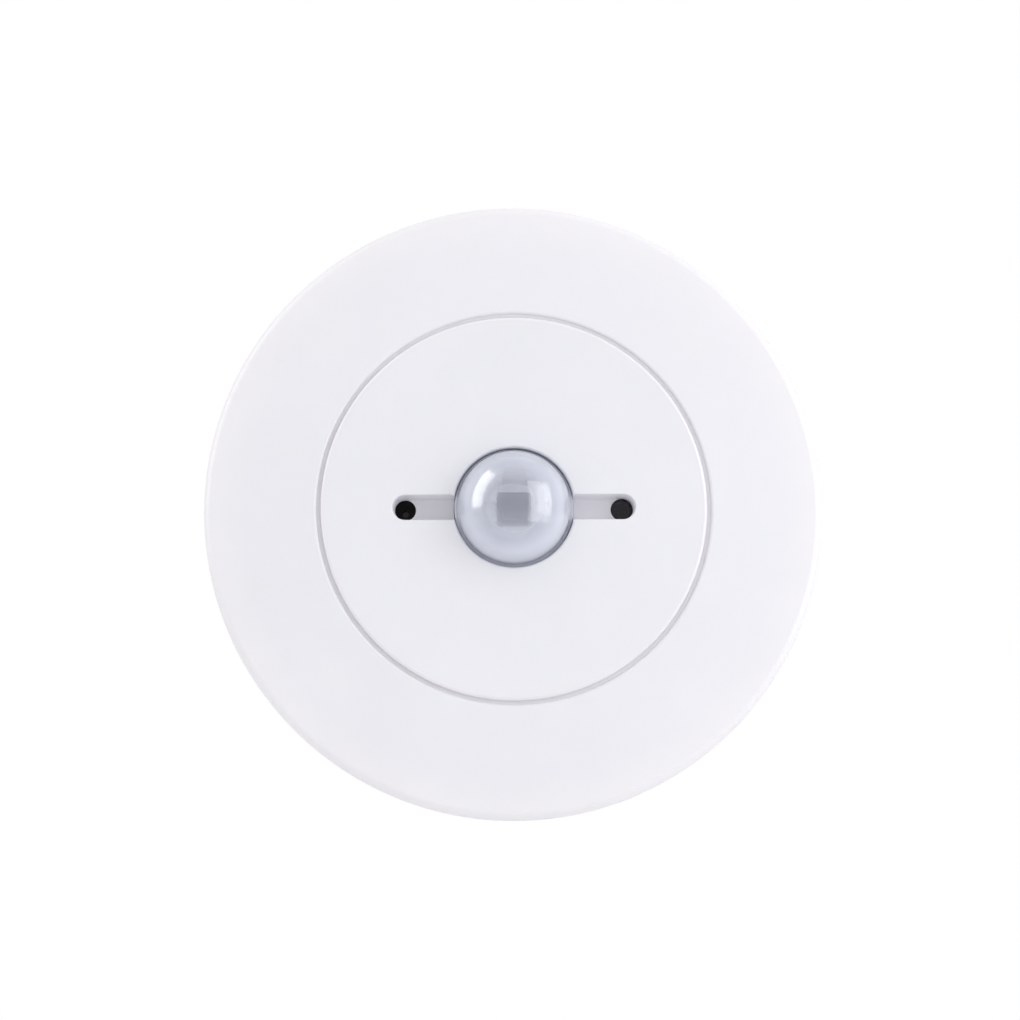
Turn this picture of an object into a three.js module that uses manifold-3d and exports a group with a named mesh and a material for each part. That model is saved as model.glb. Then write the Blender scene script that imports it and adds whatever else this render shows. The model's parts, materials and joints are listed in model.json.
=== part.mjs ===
// A flush motion sensor for a round cut-out in a ceiling or wall board: a push-on trim
// ring and centre cover, a dome lens over a pyroelectric detector, a sensor board, a mains
// board, a rear terminal box with a hinged lid, and two sprung clips that grip the board.
//
// Millimetres. The origin is on the sensor's axis, in the plane where the flange rests on
// the board. The lens looks along -Y, the body goes back along +Y into the void, and +Z is
// up when the sensor is in a wall.

import * as THREE from "three";
import { mergeVertices } from "three/addons/utils/BufferGeometryUtils.js";
import Module from "manifold-3d";

// ---- driving dimensions ----------------------------------------------------------------

const BEZEL_R = 44; // outside of the trim ring
const BEZEL_BORE_R = 27.85;
const BEZEL_INNER_Y = -4.6; // front of the trim ring at its bore
const BEZEL_RIM_Y = -3.1; // front of the trim ring where its rim starts to round
const BEZEL_RIM_ROUND = 1.5;
const BEZEL_REAR_Y = -0.15;
const BEZEL_WALL = 1.4;
const EDGE_ROUND = 0.5; // both edges of the groove between trim ring and cover

const LEDGE_R = 26.9; // inside of the ring's ledge, which the cover's rim sits over
const LEDGE_Y = -4.2;
const LEDGE_BACK_Y = -3.3;

const COVER_R = 27.35;
const COVER_Y = -5; // front face of the centre cover
const COVER_RIM_Y = -4.5; // back of the cover's thin rim
const COVER_BACK_Y = -3.2;
const SKIRT_R = 26.6; // the cover's skirt, behind its rim
const SKIRT_INNER_R = 25.4;
const SKIRT_END_Y = 0.1;
const LEG_HALF_WIDTH = 3;
const LEG_END_Y = 3.3;
const NIB = 0.15; // how far a leg's nib stands out, to rub on a rib in the housing
const LENS_HOLE_R = 8.55;
const CHANNEL_REACH = 15.4; // from the axis to the two side apertures
const CHANNEL_HALF = 1.5; // half the width of a channel's floor
const CHANNEL_DRAFT = 0.5; // how much wider each side is at the face
const CHANNEL_FLOOR_Y = -1.7;
const CHANNEL_BACK_Y = -1.1;
const APERTURE_R = 1.5; // light sensor's hole, in the left-hand channel
const WINDOW_R = 1.45; // infrared window, in the right-hand channel

const LENS_R = 8.05;
const LENS_WALL = 0.8;
const LENS_CENTRE_Y = -4.4;
const LENS_SKIRT_R = 8.3; // fills most of the cover's lens hole
const LENS_SKIRT_Y = -4.2;
const LENS_FLANGE_R = 10.2;
const LENS_FLANGE_Y = -0.8;
const LENS_BACK_Y = 0;

const FLANGE_R = 40.5;
const FLANGE_Y = -1.2; // front of the housing's flange; its rear is y = 0
const BODY_R = 30.5;
const BODY_WALL = 1.7;
const BODY_END_Y = 26;
const COLUMN_REACH = 25.8; // from the axis to the screw columns
const COLUMN_R = 3;
const SCREW_ANGLES = [90, 210, 330];
const STOP_ANGLES = [30, 150, 270];
const STOP_R = 25.6; // inside of the stops that the cover's skirt comes down to
const RIB_R = 27.05; // inside of the ribs that the cover's legs rub on
const LEG_ANGLES = [60, 180, 300];
const HOOK_ANGLES = [45, 135, 225, 315];
const HOOK_REACH = 34.8;
const HOOK_HALF = 0.6; // half the thickness of a hook's stem
const HOOK_BARB = 1.2; // how far its barb stands out from the stem's middle
const HOOK_END_Y = 1.6;

const BOARD_T = 1.6;
const SENSOR_BOARD_Y = 4;
const SENSOR_BOARD_R = 28.2;
const FRONT_SEAT_Y = SENSOR_BOARD_Y - 0.1; // where front components stand
const POWER_BOARD_Y = 22;
const POWER_BOARD_R = 22.4;
const REAR_SEAT_Y = POWER_BOARD_Y - 0.1; // where mains components stand

const CAP_Y = 26.2;
const CAP_END_Y = 28.1;
const BOX_X = 19; // terminal box, half sizes outside
const BOX_Z = 15;
const BOX_WALL = 1.6;
const BOX_END_Y = 38.5;
const LID_Y = 38.7;
const LID_END_Y = 40.3;
const HINGE_Y = 38.9;
const HINGE_Z = 16.8;
const KNUCKLE_R = 1.6;
const KNUCKLE_X = 13; // middle of each outer knuckle, and of each latch tongue
const LID_KNUCKLE_X = 9.7; // half the length of the lid's knuckle
const HINGE_BORE_R = 0.9;
const INLET_R = 4.5;
const CLAMP_X = 8; // clamp screws, from the middle
const CLAMP_Z = -9.5;

const POLES = [-9, -3, 3, 9]; // terminal positions along X
const WIRE_Y = 31;
const TERMINAL_Z = 2; // front face of the terminal block, where the wires go in
const TERMINAL_DEPTH = 11;
const TERMINAL_HALF_X = 12.5;
const TERMINAL_END_Y = 36.5;
const RELEASE_Z = TERMINAL_Z + 6.7;
const WELL_DEPTH = 2.9;
const BUTTON_X = 2.8;
const BUTTON_Z = 3.2;

const PIVOT_X = 33.8; // clip pivots, either side
const PIVOT_Y = 14;
const PIN_R = 1;
const EAR_Z = 4.8; // each clip bracket has an ear from here
const EAR_END_Z = 6.6;
const CLIP_REST = -58; // degrees: the arm's direction at rest, from straight out
const CLIP_HALF_WIDTH = 4;
const CLIP_SHEET = 0.8;
const CLIP_REACH = 13.4; // pivot to the start of the curled foot
const CLIP_DROP = 3; // pivot to the outer face of the arm
const FOOT_R = 1.6;
const COIL_R = 1.7; // mean radius of the clip spring
const WIRE_R = 0.4;

const FINE = 60; // facets round the large rings
const MID = 32;
const SMALL = 16;
const TINY = 10;
const MERGE_MM = 1e-4;

// ---- solids ----------------------------------------------------------------------------

const wasm = await Module();
wasm.setup();

/** A closed three.js geometry as a manifold-3d solid with its faces pointing out. */
function solid(geometry) {
  if (geometry instanceof wasm.Manifold) return geometry;
  const bare = new THREE.BufferGeometry();
  bare.setAttribute("position", geometry.getAttribute("position"));
  bare.setIndex(geometry.index);
  const merged = mergeVertices(bare, MERGE_MM);
  const vertProperties = merged.getAttribute("position").array;
  const triVerts = new Uint32Array(merged.index.array);
  const made = new wasm.Manifold(new wasm.Mesh({ numProp: 3, vertProperties, triVerts }));
  if (made.volume() > 0) return made;
  triVerts.reverse();
  return new wasm.Manifold(new wasm.Mesh({ numProp: 3, vertProperties, triVerts }));
}

const join = (...shapes) => shapes.map(solid).reduce((a, b) => a.add(b));
const cut = (base, ...tools) => tools.map(solid).reduce((a, b) => a.subtract(b), solid(base));

/** A solid's triangles as a three.js geometry. */
function geometryOf(shape) {
  const mesh = solid(shape).getMesh();
  const geometry = new THREE.BufferGeometry();
  geometry.setAttribute("position", new THREE.BufferAttribute(mesh.vertProperties, 3));
  geometry.setIndex(new THREE.BufferAttribute(mesh.triVerts, 1));
  geometry.computeVertexNormals();
  return geometry;
}

// ---- shapes ----------------------------------------------------------------------------

const radians = THREE.MathUtils.degToRad;

/** Points of an arc, angles in degrees, as [x, y] pairs. */
function arc(cx, cy, r, from, to, steps) {
  const points = [];
  for (let i = 0; i <= steps; i += 1) {
    const a = radians(from + ((to - from) * i) / steps);
    points.push([cx + r * Math.cos(a), cy + r * Math.sin(a)]);
  }
  return points;
}

/** A profile of [radius, y] pairs turned about the sensor's axis. */
function turned(profile, segments = FINE) {
  const solidCore = profile[0][0] === 0;
  const points = solidCore ? profile : [...profile, profile[0]];
  return new THREE.LatheGeometry(points.map(([r, y]) => new THREE.Vector2(r, y)), segments);
}

/** A round bar along Y, from y0 to y1, at x and z. */
function rod(r, y0, y1, x = 0, z = 0, segments = SMALL) {
  return new THREE.CylinderGeometry(r, r, y1 - y0, segments).translate(x, (y0 + y1) / 2, z);
}

/** A round bar along X or Z through (x, y, z), with a given length. */
function crossRod(axis, r, length, x, y, z, segments = SMALL) {
  const bar = new THREE.CylinderGeometry(r, r, length, segments);
  if (axis === "x") bar.rotateZ(Math.PI / 2);
  else bar.rotateX(Math.PI / 2);
  return bar.translate(x, y, z);
}

/** A tube along Y. */
function tube(inner, outer, y0, y1, segments = MID) {
  return turned([[inner, y0], [outer, y0], [outer, y1], [inner, y1]], segments);
}

/** A box given by its low and high corner on each axis. */
function block([x0, x1], [y0, y1], [z0, z1]) {
  const box = new THREE.BoxGeometry(x1 - x0, y1 - y0, z1 - z0);
  return box.translate((x0 + x1) / 2, (y0 + y1) / 2, (z0 + z1) / 2);
}

/** A box centred on x and z. */
function brick(x, z, sizeX, sizeZ, y0, y1) {
  return block([x - sizeX / 2, x + sizeX / 2], [y0, y1], [z - sizeZ / 2, z + sizeZ / 2]);
}

/** An outline of [x, y] pairs extruded along Z. */
function slab(outline, z0, z1) {
  const shape = new THREE.Shape(outline.map(([x, y]) => new THREE.Vector2(x, y)));
  const settings = { depth: z1 - z0, bevelEnabled: false };
  return new THREE.ExtrudeGeometry(shape, settings).translate(0, 0, z0);
}

/** Turns a geometry about the sensor's axis, from +X towards +Z. */
const atAngle = (geometry, degrees) => geometry.rotateY(radians(-degrees));

/** A block made at +X, from radius r0 to r1 and half wide, placed at each of the angles. */
function radialBlocks(angles, [r0, r1], half, levels) {
  return angles.map((a) => atAngle(block([r0, r1], levels, [-half, half]), a));
}

const radialRods = (angles, reach, r, y0, y1) =>
  angles.map((a) => atAngle(rod(r, y0, y1, reach, 0), a));

// ---- materials -------------------------------------------------------------------------

const finish = (color, roughness, metalness = 0) =>
  new THREE.MeshStandardMaterial({ color, roughness, metalness });

const MATERIALS = {
  faceWhite: finish(0xf0eff3, 0.55),
  bodyWhite: finish(0xe9e8e6, 0.6),
  lens: new THREE.MeshStandardMaterial({
    color: 0xc6cce0,
    roughness: 0.25,
    transparent: true,
    opacity: 0.6,
  }),
  darkWindow: finish(0x14121a, 0.12),
  black: finish(0x0d0d0e, 0.6),
  steel: finish(0xb9bcc0, 0.3, 1),
  springSteel: finish(0x8d9196, 0.35, 1),
  nickel: finish(0xc9c6bc, 0.25, 1),
  laminate: finish(0x14552f, 0.45),
  relay: finish(0x1c3f7d, 0.4),
  filmBox: finish(0xd8b33a, 0.45),
  sleeve: finish(0x1e1f26, 0.35),
  ferrite: finish(0x8a4b2a, 0.45),
  varistor: finish(0x1f4fa0, 0.5),
  fuse: finish(0x4a2f22, 0.45),
  terminal: finish(0xc4c7ca, 0.5),
  release: finish(0xe46a1c, 0.45),
  trimmer: finish(0x2058a8, 0.45),
  rotor: finish(0xeceae2, 0.5),
  led: finish(0xd9e8da, 0.15),
};

const part = new THREE.Group();

function add(name, shape, material, group = part) {
  const mesh = new THREE.Mesh(geometryOf(shape), MATERIALS[material]);
  mesh.name = name;
  group.add(mesh);
}

// ---- front -----------------------------------------------------------------------------

/** Conical trim ring with a rounded rim, a ledge under the cover's rim and four hooks behind. */
function bezel() {
  const boreCentre = BEZEL_BORE_R + EDGE_ROUND;
  const rimCentre = BEZEL_R - BEZEL_RIM_ROUND;
  const rimInner = BEZEL_R - BEZEL_WALL;
  const lipOuter = BEZEL_BORE_R + BEZEL_WALL;
  const [lipBack, faceBackInner, faceBackOuter] = [-1.6, -3.1, -1.5];
  const ring = turned([
    [BEZEL_BORE_R, lipBack],
    [BEZEL_BORE_R, LEDGE_BACK_Y],
    [LEDGE_R, LEDGE_BACK_Y],
    [LEDGE_R, LEDGE_Y],
    ...arc(boreCentre, BEZEL_INNER_Y + EDGE_ROUND, EDGE_ROUND, 192, 270, 2),
    ...arc(rimCentre, BEZEL_RIM_Y + BEZEL_RIM_ROUND, BEZEL_RIM_ROUND, 270, 360, 4),
    [BEZEL_R, BEZEL_REAR_Y],
    [rimInner, BEZEL_REAR_Y],
    [rimInner, faceBackOuter],
    [lipOuter, faceBackInner],
    [lipOuter, lipBack],
  ]);
  const width = 3;
  const stem = [HOOK_REACH - HOOK_HALF, HOOK_REACH + HOOK_HALF];
  const barb = [HOOK_REACH, HOOK_REACH + HOOK_BARB];
  return join(
    ring,
    ...radialBlocks(HOOK_ANGLES, stem, width, [faceBackInner, HOOK_END_Y]),
    ...radialBlocks(HOOK_ANGLES, barb, width, [HOOK_END_Y - 1, HOOK_END_Y]),
  );
}

/** Stadium outline of a side channel, from the axis out to its round end. */
function channelOutline(side, half) {
  const end = side * CHANNEL_REACH;
  const turn = side > 0 ? [-90, 90] : [270, 90];
  const near = side * 7;
  return [[near, -half], ...arc(end, 0, half, ...turn, SMALL / 2), [near, half]];
}

/** An outline of [x, z] pairs extruded along Y. */
function plate(outline, y0, y1, taper = null) {
  const shape = new THREE.Shape(outline.map(([x, z]) => new THREE.Vector2(x, z)));
  const bevel = taper && {
    bevelThickness: taper.depth,
    bevelSize: taper.size,
    bevelSegments: 1,
  };
  const settings = { depth: y1 - y0, bevelEnabled: Boolean(taper), ...bevel };
  return new THREE.ExtrudeGeometry(shape, settings).rotateX(Math.PI / 2).translate(0, y1, 0);
}

/** The tapered cutter of a channel: narrow at the floor, widest just above the face. */
function channelCutter(side) {
  const above = 0.1;
  const depth = CHANNEL_FLOOR_Y - COVER_Y;
  const outline = channelOutline(side, CHANNEL_HALF);
  return plate(outline, COVER_Y - above, COVER_Y, { depth, size: CHANNEL_DRAFT });
}

/** Centre cover: a shallow cap with a thin rim, the lens hole, two channels and three legs. */
function innerCover() {
  const shell = turned([
    [LENS_HOLE_R, COVER_BACK_Y],
    ...arc(LENS_HOLE_R + 0.4, COVER_Y + 0.4, 0.4, 180, 270, 2),
    ...arc(COVER_R - EDGE_ROUND, COVER_Y + EDGE_ROUND, EDGE_ROUND, 270, 360, 2),
    [SKIRT_R, COVER_RIM_Y],
    [SKIRT_R, SKIRT_END_Y],
    [SKIRT_INNER_R, SKIRT_END_Y],
    [SKIRT_INNER_R, COVER_BACK_Y],
  ]);
  const pads = [-1, 1].map((side) =>
    plate(channelOutline(side, CHANNEL_HALF * 2), COVER_BACK_Y - 0.1, CHANNEL_BACK_Y),
  );
  const leg = [SKIRT_INNER_R + 0.05, SKIRT_R - 0.05];
  const nib = [SKIRT_R - 0.15, SKIRT_R + NIB];
  const legs = radialBlocks(LEG_ANGLES, leg, LEG_HALF_WIDTH, [0, LEG_END_Y]);
  const nibs = radialBlocks(LEG_ANGLES, nib, 1, [LEG_END_Y - 1, LEG_END_Y]);
  const apertures = [
    rod(APERTURE_R, CHANNEL_FLOOR_Y - 0.3, 0, -CHANNEL_REACH, 0),
    rod(WINDOW_R + 0.15, CHANNEL_FLOOR_Y - 0.3, 0, CHANNEL_REACH, 0),
  ];
  const lensHole = rod(LENS_HOLE_R, COVER_BACK_Y - 0.2, 0, 0, 0, FINE);
  return cut(
    join(shell, ...pads, ...legs, ...nibs),
    lensHole,
    channelCutter(-1),
    channelCutter(1),
    ...apertures,
  );
}

/** Dark infrared window, a plug held in the right-hand channel's floor. */
function irWindow() {
  const flangeY = CHANNEL_BACK_Y + 0.1;
  return join(
    rod(WINDOW_R, CHANNEL_FLOOR_Y + 0.1, flangeY + 0.1, CHANNEL_REACH, 0),
    rod(WINDOW_R + 0.85, flangeY, flangeY + 0.6, CHANNEL_REACH, 0),
  );
}

/** Thin hemispherical lens on a short skirt with a clamping flange. */
function lensDome() {
  const inner = LENS_R - LENS_WALL;
  const outside = arc(0, LENS_CENTRE_Y, LENS_R, 270, 360, 9);
  const inside = arc(0, LENS_CENTRE_Y, inner, 360, 270, 7);
  outside[0][0] = 0;
  inside[inside.length - 1][0] = 0;
  return turned(
    [
      ...outside,
      [LENS_R, LENS_SKIRT_Y],
      [LENS_SKIRT_R, LENS_SKIRT_Y],
      [LENS_SKIRT_R, LENS_FLANGE_Y],
      [LENS_FLANGE_R, LENS_FLANGE_Y],
      [LENS_FLANGE_R, LENS_BACK_Y],
      [inner, LENS_BACK_Y],
      ...inside,
    ],
    MID,
  );
}

/** Tower on the sensor board with a bright shelf round the detector and hooks for the lens. */
function lensHolder() {
  const [shelf, wall, outside, foot] = [4.4, 8.4, 10.4, 12];
  const topY = LENS_BACK_Y + 0.2;
  const tower = turned(
    [
      [shelf, topY + 0.1],
      [wall, topY + 0.1],
      [wall, topY],
      [outside, topY],
      [outside, FRONT_SEAT_Y - 1],
      [foot, FRONT_SEAT_Y - 1],
      [foot, FRONT_SEAT_Y],
      [wall, FRONT_SEAT_Y],
      [wall, topY + 0.9],
      [shelf, topY + 0.9],
    ],
    MID,
  );
  const [hookOutside, hookHalf] = [outside + 0.9, 1.6];
  const lipY = LENS_FLANGE_Y - 0.85;
  const hook = (inside, levels) =>
    radialBlocks(SCREW_ANGLES, [inside, hookOutside], hookHalf, levels);
  return join(
    tower,
    ...hook(outside - 0.5, [topY + 0.1, 3.2]),
    ...hook(outside + 0.05, [lipY, topY + 0.2]),
    ...hook(LENS_FLANGE_R - 0.45, [lipY, lipY + 0.7]),
  );
}

// ---- pyroelectric detector -------------------------------------------------------------

const PYRO_WINDOW = 4.9;

function pyroCan() {
  const cup = turned([[0, -2.6], [4.1, -2.6], [4.1, 1.4], [3.8, 1.4], [3.8, -2.3], [0, -2.3]], MID);
  return cut(cup, brick(0, 0, PYRO_WINDOW, PYRO_WINDOW, -3, -2));
}

const pyroFilter = () => brick(0, 0, 5.2, 5.2, -2.2, -1.85);

/** Header disc with its three wires down to the sensor board. */
const pyroHeader = () =>
  join(
    rod(4.6, 1.5, 2, 0, 0, MID),
    ...radialRods(SCREW_ANGLES, 2, 0.23, 1.9, FRONT_SEAT_Y),
  );

const pyroSpacer = () => tube(2.8, 4.8, 2.1, FRONT_SEAT_Y, 24);

// ---- sensor board ----------------------------------------------------------------------

const TRIMMER_X = 11;
const TRIMMER_Z = -15;
const TRIMMER_Y = 1.3; // front of the trimmers' bodies
const SWITCH_Z = -19;
const SWITCH_Y = 0.6; // front of the learn switch's shell

function sensorBoard() {
  const disc = rod(SENSOR_BOARD_R, SENSOR_BOARD_Y, SENSOR_BOARD_Y + BOARD_T, 0, 0, FINE);
  const levels = [SENSOR_BOARD_Y - 1, SENSOR_BOARD_Y + BOARD_T + 1];
  const screwHoles = radialRods(SCREW_ANGLES, COLUMN_REACH, 1.3, ...levels);
  const stopNotches = radialBlocks(STOP_ANGLES, [STOP_R - 0.4, SENSOR_BOARD_R + 1], 2.4, levels);
  const ribNotches = radialBlocks(LEG_ANGLES, [RIB_R - 0.4, SENSOR_BOARD_R + 1], 3.4, levels);
  return cut(disc, ...screwHoles, ...stopNotches, ...ribNotches);
}

/** Black tube from behind the left-hand aperture, with a pinhole over the light sensor. */
function lightTube() {
  const [pinhole, inner, outer] = [0.5, 1.9, 2.6];
  const top = CHANNEL_BACK_Y + 0.2;
  const profile = [
    [pinhole, 2.2],
    [inner, 2.2],
    [inner, top],
    [outer, top],
    [outer, FRONT_SEAT_Y],
    [inner, FRONT_SEAT_Y],
    [inner, 2.5],
    [pinhole, 2.5],
  ];
  return turned(profile, SMALL).translate(-CHANNEL_REACH, 0, 0);
}

const photodiode = () => brick(-CHANNEL_REACH, 0, 2.4, 2, 2.9, FRONT_SEAT_Y);

/** Infrared receiver: a block with a round lens just behind the window. */
function irReceiver() {
  const top = CHANNEL_BACK_Y + 2.75;
  const bump = new THREE.SphereGeometry(1.8, SMALL, TINY).translate(CHANNEL_REACH, top, 0);
  return join(brick(CHANNEL_REACH, 0, 6, 5.6, top, FRONT_SEAT_Y), bump);
}

const microcontroller = () => brick(-11.5, 13, 7, 7, 2.9, FRONT_SEAT_Y);

function statusLed() {
  const dome = new THREE.SphereGeometry(1.5, SMALL, TINY).translate(11.5, 0.4, 14);
  return join(rod(1.5, 0.4, FRONT_SEAT_Y, 11.5, 14), dome);
}

const trimmerBody = (side) =>
  cut(
    brick(side * TRIMMER_X, TRIMMER_Z, 6.6, 6.6, TRIMMER_Y, FRONT_SEAT_Y),
    rod(1.7, 0, TRIMMER_Y + 2.1, side * TRIMMER_X, TRIMMER_Z),
  );

/** Slotted rotor of a trimmer, with its shaft down in the body. */
function trimmerRotor(side) {
  const x = side * TRIMMER_X;
  const top = TRIMMER_Y - 1.3;
  const head = rod(2.5, top, top + 1.1, x, TRIMMER_Z, 20);
  const shaft = rod(1.4, top + 1, TRIMMER_Y + 1.8, x, TRIMMER_Z);
  return cut(join(head, shaft), brick(x, TRIMMER_Z, 3.6, 0.8, top - 1, top + 0.6));
}

const learnSwitchBody = () =>
  cut(brick(0, SWITCH_Z, 6, 6, SWITCH_Y, FRONT_SEAT_Y), rod(1.95, 0, SWITCH_Y + 1.4, 0, SWITCH_Z));

const learnSwitchPlunger = () => rod(1.7, SWITCH_Y - 0.9, SWITCH_Y + 0.8, 0, SWITCH_Z);

/** A pan-head screw whose head sits at y, with its shank going back along +Y or forward. */
function screw(x, z, headR, shankR, y, headHeight, length, direction = 1) {
  const ends = (from, to) => [Math.min(from, to), Math.max(from, to)];
  const head = rod(headR, ...ends(y, y - direction * headHeight), x, z);
  const shank = rod(shankR, ...ends(y - direction * 0.1, y + direction * length), x, z, TINY);
  const recess = brick(x, z, headR * 1.3, 0.5, ...ends(y - direction * 2, y - direction * 0.5));
  return cut(join(head, shank), recess);
}

function boardScrew(angle) {
  const a = radians(angle);
  const [x, z] = [COLUMN_REACH * Math.cos(a), COLUMN_REACH * Math.sin(a)];
  return screw(x, z, 2.3, 1, FRONT_SEAT_Y, 1.1, 7);
}

/** Four-pin stacking link between the two boards. */
function boardLink() {
  const [front, back] = [SENSOR_BOARD_Y + BOARD_T + 0.1, REAR_SEAT_Y];
  const strips = [
    brick(0, -12, 10, 2.5, front, front + 2.5),
    brick(0, -12, 10, 2.5, back - 2.5, back),
  ];
  const pins = [-3.75, -1.25, 1.25, 3.75].map((x) =>
    brick(x, -12, 0.64, 0.64, front + 2, back - 2),
  );
  return join(...strips, ...pins);
}

// ---- mains board -----------------------------------------------------------------------

const BOARD_BOSS_Z = 18;

function powerBoard() {
  const [y0, y1] = [POWER_BOARD_Y, POWER_BOARD_Y + BOARD_T];
  const holes = [-1, 1].map((s) => rod(1.2, y0 - 1, y1 + 1, 0, s * BOARD_BOSS_Z));
  return cut(rod(POWER_BOARD_R, y0, y1, 0, 0, MID), ...holes);
}

const relay = () => brick(-8.5, 0, 20, 12, REAR_SEAT_Y - 12.5, REAR_SEAT_Y);
const filterCapacitor = () => brick(12.25, -7.8, 12.5, 6, REAR_SEAT_Y - 11, REAR_SEAT_Y);
const reservoirCapacitor = () => rod(4.9, REAR_SEAT_Y - 12, REAR_SEAT_Y, 9.5, 3.2, 24);
const varistor = () => crossRod("x", 4.5, 3.6, 7, REAR_SEAT_Y - 4.6, 14, 20);
const fuse = () => rod(4, REAR_SEAT_Y - 7.5, REAR_SEAT_Y, -12, -11.5, 20);

/** Drum core choke: two flanges and a winding between them. */
function choke() {
  const profile = [
    [0, REAR_SEAT_Y - 9], [4.4, REAR_SEAT_Y - 9], [4.4, REAR_SEAT_Y - 7.8],
    [3.8, REAR_SEAT_Y - 7.8], [3.8, REAR_SEAT_Y - 1.2], [4.4, REAR_SEAT_Y - 1.2],
    [4.4, REAR_SEAT_Y], [0, REAR_SEAT_Y],
  ];
  return turned(profile, 20).translate(-6, 0, 13);
}

function terminalBlock() {
  const levels = [POWER_BOARD_Y + BOARD_T + 0.1, TERMINAL_END_Y];
  const [x, z] = [TERMINAL_HALF_X, [TERMINAL_Z, TERMINAL_Z + TERMINAL_DEPTH]];
  const wellLevels = [TERMINAL_END_Y - WELL_DEPTH, TERMINAL_END_Y + 1];
  const [wellX, wellZ] = [BUTTON_X + 0.6, BUTTON_Z + 0.6];
  return cut(
    block([-x, x], levels, z),
    ...POLES.map((pole) => crossRod("z", 1.4, 9, pole, WIRE_Y, TERMINAL_Z + 3.5, TINY)),
    ...POLES.map((pole) => brick(pole, RELEASE_Z, wellX, wellZ, ...wellLevels)),
  );
}

/** A button that opens its pole's clamp when pressed; it stands proud of the block. */
const releaseButton = (pole) =>
  brick(pole, RELEASE_Z, BUTTON_X, BUTTON_Z, TERMINAL_END_Y - 1.2, TERMINAL_END_Y + 1.2);

// ---- housing and rear --------------------------------------------------------------------

/** One ear of a clip bracket, for the side at +X. */
function clipEar(z0, z1) {
  const root = BODY_R - BODY_WALL + 0.3;
  const nose = 2.6;
  const outline = [[root, PIVOT_Y - 4], [PIVOT_X, PIVOT_Y - nose]];
  outline.push(...arc(PIVOT_X, PIVOT_Y, nose, -80, 90, 6), [root, PIVOT_Y + 4]);
  return slab(outline, z0, z1);
}

/** Flanged tube with screw columns, cover stops, clip brackets and the bezel's hook slots. */
function housing() {
  const inner = BODY_R - BODY_WALL;
  const shell = turned([
    [inner, FLANGE_Y], [FLANGE_R, FLANGE_Y], [FLANGE_R, 0],
    [BODY_R, 0], [BODY_R, BODY_END_Y], [inner, BODY_END_Y],
  ]);
  const columnY = SENSOR_BOARD_Y + BOARD_T + 0.1;
  const columns = [
    ...radialRods(SCREW_ANGLES, COLUMN_REACH, COLUMN_R, columnY, BODY_END_Y),
    ...radialBlocks(SCREW_ANGLES, [COLUMN_REACH, inner + 0.5], COLUMN_R, [columnY, BODY_END_Y]),
  ];
  const stops = radialBlocks(STOP_ANGLES, [STOP_R, inner + 0.5], 2, [0.3, 1.3]);
  const ribs = radialBlocks(LEG_ANGLES, [RIB_R, inner + 0.5], 3, [1.4, LEG_END_Y + 0.4]);
  const ears = [0, 180].flatMap((turn) =>
    [[EAR_Z, EAR_END_Z], [-EAR_END_Z, -EAR_Z]].map((z) => atAngle(clipEar(...z), turn)),
  );
  const pilots = [
    ...radialRods(SCREW_ANGLES, COLUMN_REACH, 1.1, columnY - 1, columnY + 8),
    ...radialRods(SCREW_ANGLES, COLUMN_REACH, 1.25, BODY_END_Y - 9, BODY_END_Y + 1),
  ];
  const pinHoles = [-1, 1].map((s) => crossRod("z", PIN_R + 0.1, 20, s * PIVOT_X, PIVOT_Y, 0));
  const slot = [HOOK_REACH - HOOK_HALF - 0.5, HOOK_REACH + HOOK_BARB + 0.5];
  const slots = radialBlocks(HOOK_ANGLES, slot, 3.5, [FLANGE_Y - 1, 1]);
  return cut(
    join(shell, ...columns, ...stops, ...ribs, ...ears),
    ...pilots,
    ...pinHoles,
    ...slots,
  );
}

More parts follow.
